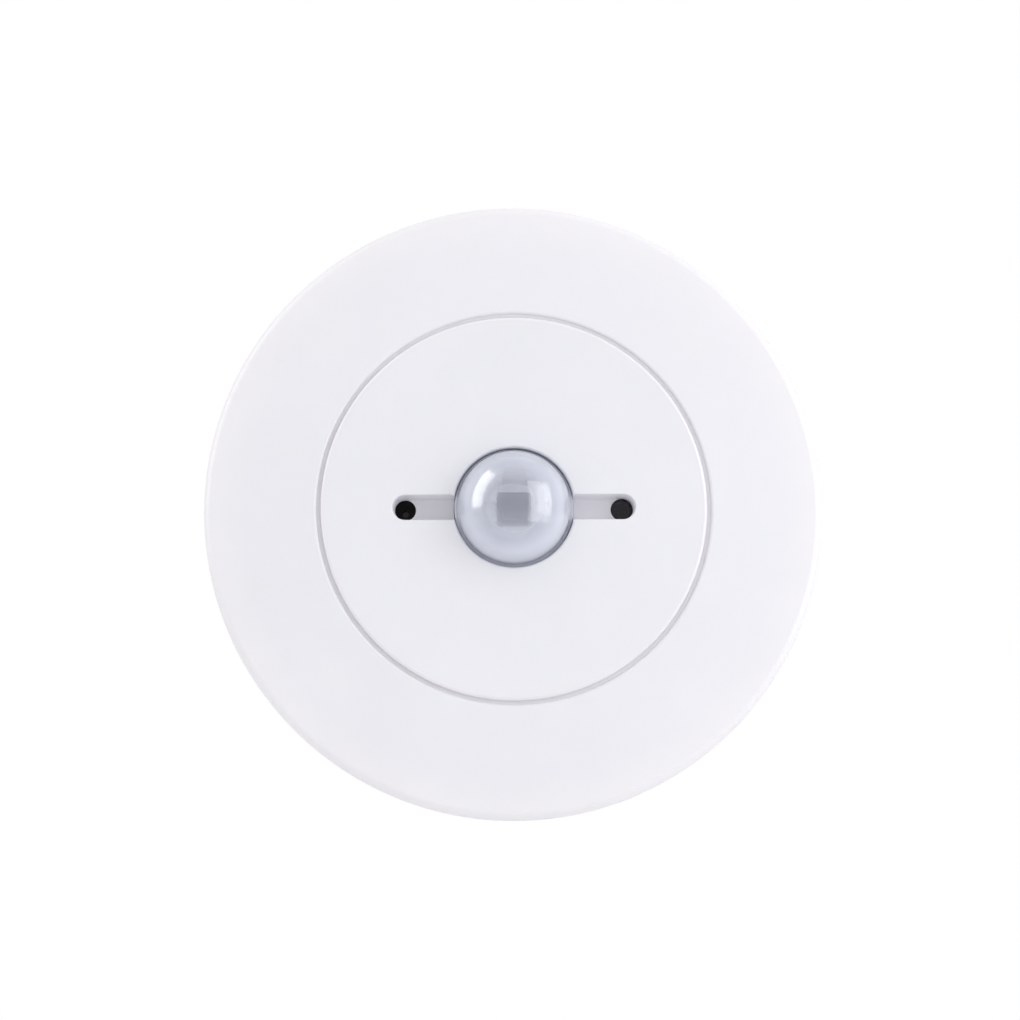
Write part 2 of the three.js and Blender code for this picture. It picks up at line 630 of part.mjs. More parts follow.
/** Rear cap: the disc that closes the tube, with the open terminal box on its back. */
function rearCap() {
  const disc = rod(BODY_R, CAP_Y, CAP_END_Y, 0, 0, FINE);
  const walls = block([-BOX_X, BOX_X], [CAP_Y, BOX_END_Y], [-BOX_Z, BOX_Z]);
  const [innerX, innerZ] = [BOX_X - BOX_WALL, BOX_Z - BOX_WALL];
  const hollow = block([-innerX, innerX], [CAP_END_Y, BOX_END_Y + 1], [-innerZ, innerZ]);
  const knuckles = [-KNUCKLE_X, KNUCKLE_X].flatMap((x) => [
    crossRod("x", KNUCKLE_R, 6, x, HINGE_Y, HINGE_Z),
    block([x - 3, x + 3], [HINGE_Y - 2.9, BOX_END_Y], [BOX_Z - 0.5, HINGE_Z]),
  ]);
  const clampBosses = [-1, 1].map((s) => rod(2.3, CAP_END_Y - 0.5, 34.2, s * CLAMP_X, CLAMP_Z));
  const boardBosses = [-1, 1].map((s) =>
    rod(2.2, POWER_BOARD_Y + BOARD_T + 0.1, CAP_Y + 0.5, 0, s * BOARD_BOSS_Z),
  );
  const windowX = TERMINAL_HALF_X + 0.3;
  const inletY = CAP_END_Y + INLET_R + 0.2;
  const inletTop = block([-INLET_R, INLET_R], [inletY, BOX_END_Y + 1], [-BOX_Z - 1, 0.5 - innerZ]);
  const inletRound = crossRod("z", INLET_R, 4, 0, inletY, -BOX_Z, 20);
  return cut(
    join(cut(join(disc, walls), hollow), ...knuckles, ...clampBosses, ...boardBosses),
    block([-windowX, windowX], [CAP_Y - 1, CAP_END_Y + 0.5], [TERMINAL_Z - 0.3, innerZ]),
    inletTop,
    inletRound,
    crossRod("x", HINGE_BORE_R, 40, 0, HINGE_Y, HINGE_Z, TINY),
    ...radialRods(SCREW_ANGLES, COLUMN_REACH, 1.4, CAP_Y - 1, CAP_END_Y + 1),
    ...[-1, 1].map((s) => rod(1, 29.2, 35, s * CLAMP_X, CLAMP_Z, TINY)),
    ...[-1, 1].map((s) => rod(1, 23, CAP_Y + 0.9, 0, s * BOARD_BOSS_Z, TINY)),
  );
}

/** Hinged lid of the terminal box, with its knuckle and two latch tongues. */
function terminalCover() {
  const lid = block([-BOX_X + 0.2, BOX_X - 0.2], [LID_Y, LID_END_Y], [-BOX_Z + 0.2, BOX_Z - 0.2]);
  const knuckle = crossRod("x", KNUCKLE_R, 2 * LID_KNUCKLE_X, 0, HINGE_Y, HINGE_Z);
  const webX = [-LID_KNUCKLE_X, LID_KNUCKLE_X];
  const web = block(webX, [LID_Y, LID_END_Y], [BOX_Z - 0.5, HINGE_Z]);
  const tip = LID_Y - 5.2;
  const tongues = [-KNUCKLE_X, KNUCKLE_X].flatMap((x) => {
    const width = [x - 2.5, x + 2.5];
    return [
      block(width, [tip, LID_END_Y], [-BOX_Z - 1.4, -BOX_Z - 0.4]),
      block(width, [LID_Y, LID_END_Y], [-BOX_Z - 1, -BOX_Z + 0.5]),
      block(width, [tip, tip + 1.2], [-BOX_Z - 0.6, -BOX_Z - 0.15]),
    ];
  });
  const bore = crossRod("x", HINGE_BORE_R, 40, 0, HINGE_Y, HINGE_Z, TINY);
  return cut(join(lid, knuckle, web, ...tongues), bore);
}

const terminalCoverPin = () => crossRod("x", 0.75, 32, 0, HINGE_Y, HINGE_Z, TINY);

/** Arched bar that two screws press on the cable. */
const cableClamp = () =>
  cut(
    block([-10.2, 10.2], [34.5, 36.3], [CLAMP_Z - 2.4, CLAMP_Z + 2.4]),
    crossRod("z", 6, 6, 0, 29.5, CLAMP_Z, 24),
    ...[-1, 1].map((s) => rod(1.2, 34, 37, s * CLAMP_X, CLAMP_Z, TINY)),
  );

const clampScrew = (side) => screw(side * CLAMP_X, CLAMP_Z, 2, 0.85, 36.4, 1.2, 6.5, -1);
const powerBoardScrew = (side) => screw(0, side * BOARD_BOSS_Z, 2, 0.85, REAR_SEAT_Y, 1, 4.6);

function capScrew(angle) {
  const a = radians(angle);
  const [x, z] = [COLUMN_REACH * Math.cos(a), COLUMN_REACH * Math.sin(a)];
  return screw(x, z, 2.6, 1.1, CAP_END_Y + 0.1, 1.4, 10, -1);
}

// ---- clips -----------------------------------------------------------------------------

/** Pressed-steel arm, made lying along +X with its pivot at the origin. */
function clipArm() {
  const inside = CLIP_DROP - CLIP_SHEET;
  const foot = [CLIP_REACH, FOOT_R - CLIP_DROP];
  const sheet = slab(
    [
      [0.2, -CLIP_DROP],
      ...arc(...foot, FOOT_R, -90, -10, 5),
      ...arc(...foot, FOOT_R - CLIP_SHEET, -10, -90, 4),
      [0.2, -inside],
    ],
    -CLIP_HALF_WIDTH,
    CLIP_HALF_WIDTH,
  );
  const ear = [[0.2, -CLIP_DROP], [6.5, -CLIP_DROP], [6.5, -inside - 0.1]];
  ear.push(...arc(0, 0, 2.3, 15, 215, 8));
  const ears = [-1, 1].map((s) => {
    const faces = [s * CLIP_HALF_WIDTH, s * (CLIP_HALF_WIDTH - CLIP_SHEET)];
    return slab(ear, Math.min(...faces), Math.max(...faces));
  });
  return cut(join(sheet, ...ears), crossRod("z", PIN_R + 0.1, 20, 0, 0, 0));
}

/** Steel pivot pin with a head at one end. */
const clipPin = () =>
  join(
    crossRod("z", PIN_R, 2 * EAR_END_Z + 1.4, 0, 0, 0.1),
    crossRod("z", PIN_R + 0.6, 0.8, 0, 0, EAR_END_Z + 0.6),
  );

/** Torsion spring as its coil's sleeve, a leg on the housing and a leg under the arm. */
function clipSpring() {
  const coil = tube(COIL_R - WIRE_R, COIL_R + WIRE_R, -2.7, 2.7, 20).rotateX(Math.PI / 2);
  const armLeg = crossRod("x", WIRE_R, 9, 4.5, -COIL_R, -2.3, 8).rotateZ(radians(CLIP_REST));
  const wallLeg = rod(WIRE_R, 0, 7.5, 0, 2.3, 8).rotateZ(radians(7)).translate(-COIL_R, 0, 0);
  return join(coil, armLeg, wallLeg);
}

function addClip(side, turn) {
  const bracket = new THREE.Group();
  bracket.rotation.y = turn;
  const pivot = new THREE.Group();
  pivot.position.set(PIVOT_X, PIVOT_Y, 0);
  const arm = new THREE.Group();
  arm.rotation.z = radians(CLIP_REST);
  add(`clip_arm_${side}`, clipArm(), "steel", arm);
  add(`clip_pin_${side}`, clipPin(), "steel", pivot);
  add(`clip_spring_${side}`, clipSpring(), "springSteel", pivot);
  pivot.add(arm);
  bracket.add(pivot);
  part.add(bracket);
}

// ---- assembly --------------------------------------------------------------------------

add("bezel", bezel(), "faceWhite");
add("inner_cover", innerCover(), "faceWhite");
add("ir_window", irWindow(), "darkWindow");
add("lens_dome", lensDome(), "lens");
add("lens_holder", lensHolder(), "bodyWhite");
add("pyro_can", pyroCan(), "nickel");
add("pyro_filter", pyroFilter(), "darkWindow");
add("pyro_header", pyroHeader(), "nickel");
add("pyro_spacer", pyroSpacer(), "bodyWhite");
add("sensor_board", sensorBoard(), "laminate");
add("light_tube", lightTube(), "black");
add("photodiode", photodiode(), "darkWindow");
add("ir_receiver", irReceiver(), "darkWindow");
add("microcontroller", microcontroller(), "black");
add("status_led", statusLed(), "led");
add("time_trimmer_body", trimmerBody(-1), "trimmer");
add("time_trimmer_rotor", trimmerRotor(-1), "rotor");
add("lux_trimmer_body", trimmerBody(1), "trimmer");
add("lux_trimmer_rotor", trimmerRotor(1), "rotor");
add("learn_switch_body", learnSwitchBody(), "nickel");
add("learn_switch_plunger", learnSwitchPlunger(), "black");
add("board_link", boardLink(), "black");
add("power_board", powerBoard(), "laminate");
add("relay", relay(), "relay");
add("filter_capacitor", filterCapacitor(), "filmBox");
add("reservoir_capacitor", reservoirCapacitor(), "sleeve");
add("choke", choke(), "ferrite");
add("varistor", varistor(), "varistor");
add("fuse", fuse(), "fuse");
add("terminal_block", terminalBlock(), "terminal");
POLES.forEach((x, i) => add(`release_button_${i + 1}`, releaseButton(x), "release"));
add("housing", housing(), "bodyWhite");
add("rear_cap", rearCap(), "bodyWhite");
add("terminal_cover", terminalCover(), "bodyWhite");
add("terminal_cover_pin", terminalCoverPin(), "steel");
add("cable_clamp", cableClamp(), "bodyWhite");
[-1, 1].forEach((s, i) => add(`clamp_screw_${i + 1}`, clampScrew(s), "steel"));
[-1, 1].forEach((s, i) => add(`power_board_screw_${i + 1}`, powerBoardScrew(s), "steel"));
SCREW_ANGLES.forEach((a, i) => add(`board_screw_${i + 1}`, boardScrew(a), "steel"));
SCREW_ANGLES.forEach((a, i) => add(`cap_screw_${i + 1}`, capScrew(a), "steel"));
addClip("right", 0);
addClip("left", Math.PI);

export default part;
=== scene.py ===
"""A flush motion sensor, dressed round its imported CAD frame. Metres; lengths below are in
millimetres and are scaled by MM where they reach Blender."""

import json
import math

import bmesh
import bpy
from mathutils import Matrix, Quaternion, Vector


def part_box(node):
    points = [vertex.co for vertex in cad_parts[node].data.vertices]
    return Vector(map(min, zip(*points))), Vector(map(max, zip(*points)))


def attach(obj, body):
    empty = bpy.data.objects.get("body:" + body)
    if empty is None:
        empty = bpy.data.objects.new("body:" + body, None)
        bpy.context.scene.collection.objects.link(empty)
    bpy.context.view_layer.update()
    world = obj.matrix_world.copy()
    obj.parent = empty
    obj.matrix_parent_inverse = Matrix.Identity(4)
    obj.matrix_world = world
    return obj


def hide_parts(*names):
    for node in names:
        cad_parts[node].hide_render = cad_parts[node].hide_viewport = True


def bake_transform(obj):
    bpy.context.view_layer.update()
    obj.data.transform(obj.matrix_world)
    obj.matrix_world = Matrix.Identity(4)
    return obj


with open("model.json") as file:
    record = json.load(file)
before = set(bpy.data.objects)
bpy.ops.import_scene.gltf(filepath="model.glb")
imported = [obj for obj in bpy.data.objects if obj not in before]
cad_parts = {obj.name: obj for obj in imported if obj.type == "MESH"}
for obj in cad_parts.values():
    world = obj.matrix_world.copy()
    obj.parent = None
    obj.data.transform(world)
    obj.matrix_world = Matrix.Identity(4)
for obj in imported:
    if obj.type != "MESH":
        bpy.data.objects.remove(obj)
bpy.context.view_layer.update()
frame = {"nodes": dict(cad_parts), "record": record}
NODES = frame["nodes"]
BODY_OF = {n: b for b, ns in frame["record"]["behaviour"]["bodies"].items() for n in ns}
SLOT_OF = {s["node"]: s["material_slot"] for s in frame["record"]["subparts"]}
scene = bpy.context.scene

MM = 0.001
TAU = 2 * math.pi
SHARP_DEGREES = 35  # edges turning more than this stay crisp


def low(node):
    """A CAD node's lowest corner, in millimetres."""
    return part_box(node)[0] / MM


def high(node):
    """A CAD node's highest corner, in millimetres."""
    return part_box(node)[1] / MM


def middle(node):
    """The middle of a CAD node's box, in millimetres."""
    return (low(node) + high(node)) / 2


# ---- outlines ------------------------------------------------------------------------------


def arc(cx, cy, radius, start, end, steps):
    """Points of an arc, angles in degrees."""
    angles = [math.radians(start + (end - start) * i / steps) for i in range(steps + 1)]
    return [(cx + radius * math.cos(a), cy + radius * math.sin(a)) for a in angles]


def filleted(points, steps=6, closed=True):
    """A polygon whose corners given as (x, y, radius) are rounded."""
    made = []
    count = len(points)
    for i, corner in enumerate(points):
        here = Vector(corner[:2])
        if len(corner) < 3 or (not closed and i in (0, count - 1)):
            made.append(tuple(here))
            continue
        before = Vector(points[i - 1][:2]) - here
        after = Vector(points[(i + 1) % count][:2]) - here
        half = before.angle(after) / 2
        reach = min(corner[2] / math.tan(half), 0.49 * before.length, 0.49 * after.length)
        radius = reach * math.tan(half)
        bisector = (before.normalized() + after.normalized()).normalized()
        centre = here + bisector * (radius / math.sin(half))
        first = here + before.normalized() * reach - centre
        last = here + after.normalized() * reach - centre
        turn = first.angle_signed(last)
        for k in range(steps + 1):
            spoke = first.copy()
            spoke.rotate(Matrix.Rotation(-turn * k / steps, 2))
            made.append(tuple(centre + spoke))
    return made


def rounded_rectangle(cx, cy, width, height, radius, steps=5):
    """A rectangle centred on (cx, cy) with rounded corners."""
    x, y = width / 2, height / 2
    corners = [(-x, -y), (x, -y), (x, y), (-x, y)]
    return filleted([(cx + a, cy + b, radius) for a, b in corners], steps)


# ---- meshes --------------------------------------------------------------------------------


def lathe(profile, segments=160, closed=True):
    """A profile of (radius, y) turned about the sensor's axis."""
    bm = bmesh.new()
    angles = [TAU * i / segments for i in range(segments)]
    rings = []
    for radius, y in profile:
        spokes = angles if radius > 1e-6 else [0]
        at = [(radius * math.cos(a) * MM, y * MM, radius * math.sin(a) * MM) for a in spokes]
        rings.append([bm.verts.new(p) for p in at])
    pairs = list(zip(rings, rings[1:]))
    if closed and len(rings[0]) > 1 and len(rings[-1]) > 1:
        pairs.append((rings[-1], rings[0]))
    for a, b in pairs:
        for i in range(segments):
            j = (i + 1) % segments
            loop = [a[i % len(a)], a[j % len(a)], b[j % len(b)], b[i % len(b)]]
            corners = list(dict.fromkeys(loop))
            if len(corners) > 2:
                bm.faces.new(corners)
    bmesh.ops.recalc_face_normals(bm, faces=bm.faces)
    return bm


def place(axis, u, v, w):
    """A point from outline coordinates (u, v) and a depth w along the axis."""
    return Vector({"x": (w, u, v), "y": (u, w, v), "z": (u, v, w)}[axis]) * MM


def loft(loops, axis="y"):
    """Outlines of equal length, each as (outline, depth), skinned and capped."""
    bm = bmesh.new()
    rings = [[bm.verts.new(place(axis, u, v, w)) for u, v in outline] for outline, w in loops]
    count = len(rings[0])
    for a, b in zip(rings, rings[1:]):
        for i in range(count):
            j = (i + 1) % count
            bm.faces.new((a[i], a[j], b[j], b[i]))
    bm.faces.new(rings[0])
    bm.faces.new(rings[-1])
    bmesh.ops.recalc_face_normals(bm, faces=bm.faces)
    return bm


def prism(outline, start, end, axis="y", edge=0.0, steps=3):
    """An outline given depth along an axis, with its two rims rounded by edge."""
    bm = loft([(outline, start), (outline, end)], axis)
    if edge:
        caps = [f for f in bm.faces if len(f.verts) == len(outline)]
        rims = list({e for f in caps for e in f.edges})
        bmesh.ops.bevel(
            bm, geom=rims, offset=edge * MM, segments=steps, profile=0.5, affect="EDGES",
            clamp_overlap=True,
        )
    return bm


def rod(radius, start, end, x=0.0, z=0.0, axis="y", edge=0.0, segments=48):
    """A round bar along an axis, centred on the two other coordinates."""
    outline = arc(x, z, radius, 0, 360, segments)[:-1]
    return prism(outline, start, end, axis, edge)


def box(lo, hi, edge=0.2, steps=3):
    """A box between two corners with all of its edges rounded."""
    bm = bmesh.new()
    bmesh.ops.create_cube(bm, size=1)
    lo, hi = Vector(lo), Vector(hi)
    for vert in bm.verts:
        share = [c + 0.5 for c in vert.co]
        vert.co = Vector([a + (b - a) * s for a, b, s in zip(lo, hi, share)]) * MM
    if edge:
        bmesh.ops.bevel(
            bm, geom=list(bm.edges), offset=edge * MM, segments=steps, profile=0.5,
            affect="EDGES", clamp_overlap=True,
        )
    return bm


def spun(bm, degrees, axis="Y"):
    """Turns a mesh about the sensor's axis, from +X towards +Z."""
    sign = -1 if axis == "Y" else 1
    bm.transform(Matrix.Rotation(sign * math.radians(degrees), 4, axis))
    return bm


def moved(bm, x=0.0, y=0.0, z=0.0):
    """Shifts a mesh by millimetres."""
    bm.transform(Matrix.Translation(Vector((x, y, z)) * MM))
    return bm


def wire(points, radius):
    """A round wire swept along points in millimetres."""
    bm = bmesh.new()
    sides = 12
    points = [Vector(p) for p in points]
    rings = []
    normal = (points[1] - points[0]).orthogonal()
    for i, point in enumerate(points):
        tangent = (points[min(i + 1, len(points) - 1)] - points[max(i - 1, 0)]).normalized()
        normal = (normal - tangent * normal.dot(tangent)).normalized()
        side = tangent.cross(normal)
        turns = [TAU * k / sides for k in range(sides)]
        ring = [point + radius * (normal * math.cos(t) + side * math.sin(t)) for t in turns]
        rings.append([bm.verts.new(p * MM) for p in ring])
    for a, b in zip(rings, rings[1:]):
        for k in range(sides):
            j = (k + 1) % sides
            bm.faces.new((a[k], a[j], b[j], b[k]))
    bm.faces.new(rings[0])
    bm.faces.new(rings[-1])
    bmesh.ops.recalc_face_normals(bm, faces=bm.faces)
    return bm


def joined(*parts):
    """Meshes that only touch or stand apart, as one."""
    whole = bmesh.new()
    for bm in parts:
        mesh = bpy.data.meshes.new("joined")
        bm.to_mesh(mesh)
        bm.free()
        whole.from_mesh(mesh)
        bpy.data.meshes.remove(mesh)
    return whole


def union(*parts):
    """Steps for combine() that add each mesh."""
    return [("UNION", bm) for bm in parts]


def minus(*parts):
    """Steps for combine() that cut each mesh away."""
    return [("DIFFERENCE", bm) for bm in parts]


def raw_object(bm, name="tool"):
    """An object holding a mesh, with nothing else set."""
    mesh = bpy.data.meshes.new(name)
    bm.to_mesh(mesh)
    bm.free()
    obj = bpy.data.objects.new(name, mesh)
    scene.collection.objects.link(obj)
    return obj


def combine(base, steps):
    """Applies (operation, mesh) booleans in order, with "UNION" or "DIFFERENCE"."""
    obj = raw_object(base, "base")
    tools = []
    for operation, bm in steps:
        tool = raw_object(bm)
        tools.append(tool)
        modifier = obj.modifiers.new("boolean", "BOOLEAN")
        modifier.operation = operation
        modifier.solver = "EXACT"
        modifier.object = tool
    bpy.context.view_layer.update()
    graph = bpy.context.evaluated_depsgraph_get()
    bm = bmesh.new()
    bm.from_object(obj, graph)
    bmesh.ops.remove_doubles(bm, verts=bm.verts, dist=1e-7)
    for used in [obj, *tools]:
        bpy.data.objects.remove(used)
    return bm


def piece(name, bm, material, replaces=(), body=None, rides=True, sharp=SHARP_DEGREES):
    """Makes a mesh a named piece that rides on the body of the CAD nodes it replaces."""
    obj = raw_object(bm, name)
    mesh = obj.data
    mesh.shade_smooth()
    mesh.set_sharp_from_angle(angle=math.radians(sharp))
    mesh.materials.append(material)
    normals = obj.modifiers.new("normals", "WEIGHTED_NORMAL")
    normals.keep_sharp = True
    normals.weight = 80
    if replaces:
        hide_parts(*replaces)
    if rides:
        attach(obj, body or BODY_OF[replaces[0]])
    return obj


# ---- materials -----------------------------------------------------------------------------


class Shader:
    """A Principled material with short ways to add procedural detail."""

    def __init__(self, name, color, roughness, metallic=0.0, **inputs):
        self.material = bpy.data.materials.new(name)
        self.material.use_nodes = True
        self.tree = self.material.node_tree
        self.bsdf = self.tree.nodes["Principled BSDF"]
        self.bsdf.inputs["Base Color"].default_value = (*color, 1)
        self.bsdf.inputs["Roughness"].default_value = roughness
        self.bsdf.inputs["Metallic"].default_value = metallic
        for key, value in inputs.items():
            self.bsdf.inputs[key.replace("_", " ")].default_value = value
        self.color = color
        self.coordinates = self.tree.nodes.new("ShaderNodeTexCoord").outputs["Object"]
        self.normal = None

    def link(self, a, b):
        """Joins an output socket to an input socket."""
        self.tree.links.new(a, b)

    def stretched(self, scale):
        """Object coordinates scaled differently along X, Y and Z."""
        node = self.tree.nodes.new("ShaderNodeMapping")
        node.inputs["Scale"].default_value = scale
        self.link(self.coordinates, node.inputs["Vector"])
        return node.outputs["Vector"]

    def noise(self, per_mm, detail=3.0, roughness=0.5, stretch=None):
        """Noise with about per_mm features in a millimetre."""
        node = self.tree.nodes.new("ShaderNodeTexNoise")
        node.inputs["Scale"].default_value = per_mm / MM
        node.inputs["Detail"].default_value = detail
        node.inputs["Roughness"].default_value = roughness
        vector = self.stretched(stretch) if stretch else self.coordinates
        self.link(vector, node.inputs["Vector"])
        return node.outputs["Fac"]

    def ramp(self, value, stops):
        """Maps a value through (position, colour or level) stops."""
        node = self.tree.nodes.new("ShaderNodeValToRGB")
        elements = node.color_ramp.elements
        while len(elements) < len(stops):
            elements.new(0.5)
        for element, (position, level) in zip(elements, stops):
            element.position = position
            rgb = (level,) * 3 if isinstance(level, (int, float)) else level
            element.color = (*rgb, 1)
        self.link(value, node.inputs["Fac"])
        return node.outputs["Color"]

    def shade(self, spread):
        """The base colour, darker and lighter by a share."""
        return tuple(max(0.0, min(1.0, c * (1 + spread))) for c in self.color)

    def mottle(self, value, spread):
        """Lets a value vary the base colour by a share of it."""
        stops = [(0.3, self.shade(-spread)), (0.7, self.shade(spread))]
        self.link(self.ramp(value, stops), self.bsdf.inputs["Base Color"])
        return self

    def gloss(self, value, smooth, rough):
        """Lets a value vary the roughness between two levels."""
        node = self.tree.nodes.new("ShaderNodeMapRange")
        node.inputs["From Min"].default_value = 0.3
        node.inputs["From Max"].default_value = 0.7
        node.inputs["To Min"].default_value = smooth
        node.inputs["To Max"].default_value = rough
        self.link(value, node.inputs["Value"])
        self.link(node.outputs["Result"], self.bsdf.inputs["Roughness"])
        return self

    def relief(self, value, depth_mm, strength=1.0):
        """Adds a bump of a depth in millimetres."""
        node = self.tree.nodes.new("ShaderNodeBump")
        node.inputs["Distance"].default_value = depth_mm * MM
        node.inputs["Strength"].default_value = strength
        self.link(value, node.inputs["Height"])
        if self.normal:
            self.link(self.normal, node.inputs["Normal"])
        self.normal = node.outputs["Normal"]
        self.link(self.normal, self.bsdf.inputs["Normal"])
        return self


def moulded(name, color, roughness, grain=0.006, spread=0.012, **inputs):
    """Injection-moulded plastic with a spark-eroded grain and faint flow mottling."""
    made = Shader(name, color, roughness, **inputs)
    made.mottle(made.noise(0.06, 4, 0.6), spread)
    made.gloss(made.noise(0.9, 2), roughness - 0.05, roughness + 0.05)
    made.relief(made.noise(5.5, 2, 0.6), grain)
    return made.material


def plated(name, color, roughness, stretch=(1, 1, 1)):
    """Plated metal with fine drawing lines and a cloudy finish."""
    made = Shader(name, color, roughness, metallic=1.0)
    made.mottle(made.noise(0.35, 4, 0.65), 0.12)
    made.gloss(made.noise(1.6, 4, 0.6), roughness - 0.08, roughness + 0.12)
    made.relief(made.noise(3.0, 3, 0.6, stretch), 0.004)
    return made.material


FACE = moulded("face_plastic", (0.885, 0.865, 0.9), 0.5, grain=0.004, Subsurface_Weight=0.06)
BODY = moulded("body_plastic", (0.8, 0.8, 0.785), 0.55, grain=0.008, spread=0.02)
BLACK = moulded("black_plastic", (0.008, 0.008, 0.009), 0.55, spread=0.2)
NICKEL = plated("nickel_can", (0.86, 0.86, 0.88), 0.42)
ZINC = plated("zinc_steel", (0.66, 0.67, 0.68), 0.34, stretch=(1, 6, 1))
SPRING = plated("spring_wire", (0.45, 0.46, 0.48), 0.36)
TERMINAL = moulded("terminal_body", (0.5, 0.52, 0.54), 0.5)
RELEASE = moulded("release_button", (0.76, 0.18, 0.03), 0.45)
TRIMMER = moulded("trimmer_case", (0.02, 0.1, 0.38), 0.4)
ROTOR = moulded("trimmer_rotor", (0.8, 0.78, 0.7), 0.5)


def milky_lens():
    """Milky polyethylene: clearest at the front of the dome, milkier towards the skirt."""
    made = Shader("lens_polyethylene", (0.79, 0.82, 0.94), 0.18, Coat_Weight=1.0,
                  Coat_Roughness=0.1, Specular_IOR_Level=1.0)
    along = made.tree.nodes.new("ShaderNodeSeparateXYZ")
    made.link(made.coordinates, along.inputs["Vector"])
    haze = made.tree.nodes.new("ShaderNodeMapRange")
    haze.interpolation_type = "SMOOTHSTEP"
    haze.inputs["From Min"].default_value = low("lens_dome").y * MM
    haze.inputs["From Max"].default_value = (LENS_CENTRE - 4) * MM
    haze.inputs["To Min"].default_value = 0.18
    haze.inputs["To Max"].default_value = 0.72
    made.link(along.outputs["Y"], haze.inputs["Value"])
    made.link(haze.outputs["Result"], made.bsdf.inputs["Alpha"])
    made.mottle(made.noise(0.25, 3, 0.5), 0.03)
    made.relief(made.noise(0.5, 2, 0.5), 0.01, 0.5)
    return made.material


def dark_window():
    """Polished plastic that passes only infrared."""
    made = Shader("dark_window", (0.012, 0.011, 0.018), 0.12)
    made.mottle(made.noise(0.5, 3), 0.2)
    made.relief(made.noise(0.8, 2), 0.004)
    return made.material


def detector_filter():
    """Silicon filter glass with a thin coating."""
    made = Shader("detector_filter", (0.03, 0.05, 0.1), 0.16, Coat_Weight=0.3)
    made.mottle(made.noise(0.4, 2), 0.25)
    made.relief(made.noise(0.3, 2), 0.003)
    return made.material


def solder_mask():
    """Green mask over a grid of copper tracks."""
    made = Shader("solder_mask", (0.02, 0.13, 0.05), 0.3, Coat_Weight=0.3)
    tracks = made.tree.nodes.new("ShaderNodeTexBrick")
    tracks.inputs["Scale"].default_value = 0.4 / MM
    tracks.inputs["Mortar Size"].default_value = 0.09
    tracks.inputs["Mortar Smooth"].default_value = 0.2
    tracks.inputs["Brick Width"].default_value = 1.3
    tracks.inputs["Row Height"].default_value = 0.42
    turned = made.tree.nodes.new("ShaderNodeMapping")
    turned.inputs["Rotation"].default_value = (math.pi / 2, 0, 0)
    made.link(made.coordinates, turned.inputs["Vector"])
    made.link(turned.outputs["Vector"], tracks.inputs["Vector"])
    lines = tracks.outputs["Fac"]
    made.link(made.ramp(lines, [(0, made.color), (1, (0.035, 0.22, 0.075))]),
              made.bsdf.inputs["Base Color"])
    made.relief(lines, 0.03)
    made.relief(made.noise(3, 2), 0.004)
    return made.material


def epoxy_led():
    """Clear green-tinted epoxy."""
    made = Shader("led_epoxy", (0.6, 0.8, 0.62), 0.08, Alpha=0.75)
    made.mottle(made.noise(0.6, 3), 0.05)
    made.relief(made.noise(0.8, 2), 0.004)
    return made.material


def wound_copper():
    """Ferrite drum under varnished turns of wire."""
    made = Shader("choke_winding", (0.2, 0.08, 0.03), 0.42)
    turns = made.tree.nodes.new("ShaderNodeTexWave")
    turns.bands_direction = "Y"
    turns.inputs["Scale"].default_value = 0.35 / MM
    made.link(made.coordinates, turns.inputs["Vector"])
    made.mottle(turns.outputs["Fac"], 0.5)
    made.relief(turns.outputs["Fac"], 0.1)
    return made.material


LENS_R = 8.05
LENS_CENTRE = -4.4  # the dome's centre, in front of the flange

LENS = milky_lens()
DARK = dark_window()
FILTER = detector_filter()
LAMINATE = solder_mask()
LED = epoxy_led()


# ---- front ---------------------------------------------------------------------------------

FACE_Y = low("inner_cover").y
FLOOR_Y = low("ir_window").y - 0.1  # floor of the two channels
COVER_R = high("inner_cover").x
RING_R = high("bezel").x
BORE_R = COVER_R + 0.5
LENS_HOLE = 8.55
REACH = middle("ir_window").x
SCREW_ANGLES = (90, 210, 330)
LEG_ANGLES = (60, 180, 300)
STOP_ANGLES = (30, 150, 270)
HOOK_ANGLES = (45, 135, 225, 315)
SIDES = (-1, 1)


def about(angles, make):
    """Fresh copies of a mesh made at +X, one at each angle about the axis."""
    return [spun(make(), a) for a in angles]


def build_trim_ring():
    """Conical ring with a soft bore edge, a ledge, a rounded rim and hooks behind."""
    front = low("bezel").y
    ledge_r, ledge_y, ledge_back = 26.9, -4.2, -3.3
    profile = [
        *filleted(
            [(BORE_R, -1.6, 0.15), (BORE_R, ledge_back, 0.1), (ledge_r, ledge_back, 0.15),
             (ledge_r, ledge_y, 0.15), (BORE_R, ledge_y)],
            4,
            closed=False,
        ),
        *arc(BORE_R + 0.5, front + 0.5, 0.5, 192, 270, 8),
        *filleted(
            [(BORE_R + 0.5, front), (36, front + 0.72, 60), (RING_R, front + 1.62, 1.45),
             (RING_R, -0.15, 0.3), (42.6, -0.15, 0.3), (42.6, -1.5, 0.5),
             (BORE_R + 1.4, -3.1, 0.4), (BORE_R + 1.4, -1.6, 0.15), (BORE_R, -1.6)],
            8,
            closed=False,
        )[1:-1],
    ]
    outline = filleted(
        [(34.2, -3.1), (35.4, -3.1), (35.4, 0.6, 0.1), (36, 0.6, 0.1), (35.3, 1.6, 0.2),
         (34.2, 1.6, 0.2)],
        4,
    )
    hooks = about(HOOK_ANGLES, lambda: prism(outline, -3, 3, "z", 0.15))
    piece("bezel_shell", combine(lathe(profile, 256), union(*hooks)), FACE, ["bezel"])


def stadium(side, half):
    """Outline of a channel as wide as twice half, with a round outer end."""
    end = [(side * x, z) for x, z in arc(REACH, 0, half, -90, 90, 28)]
    return [(side * 6.5, -half), *end, (side * 6.5, half)]


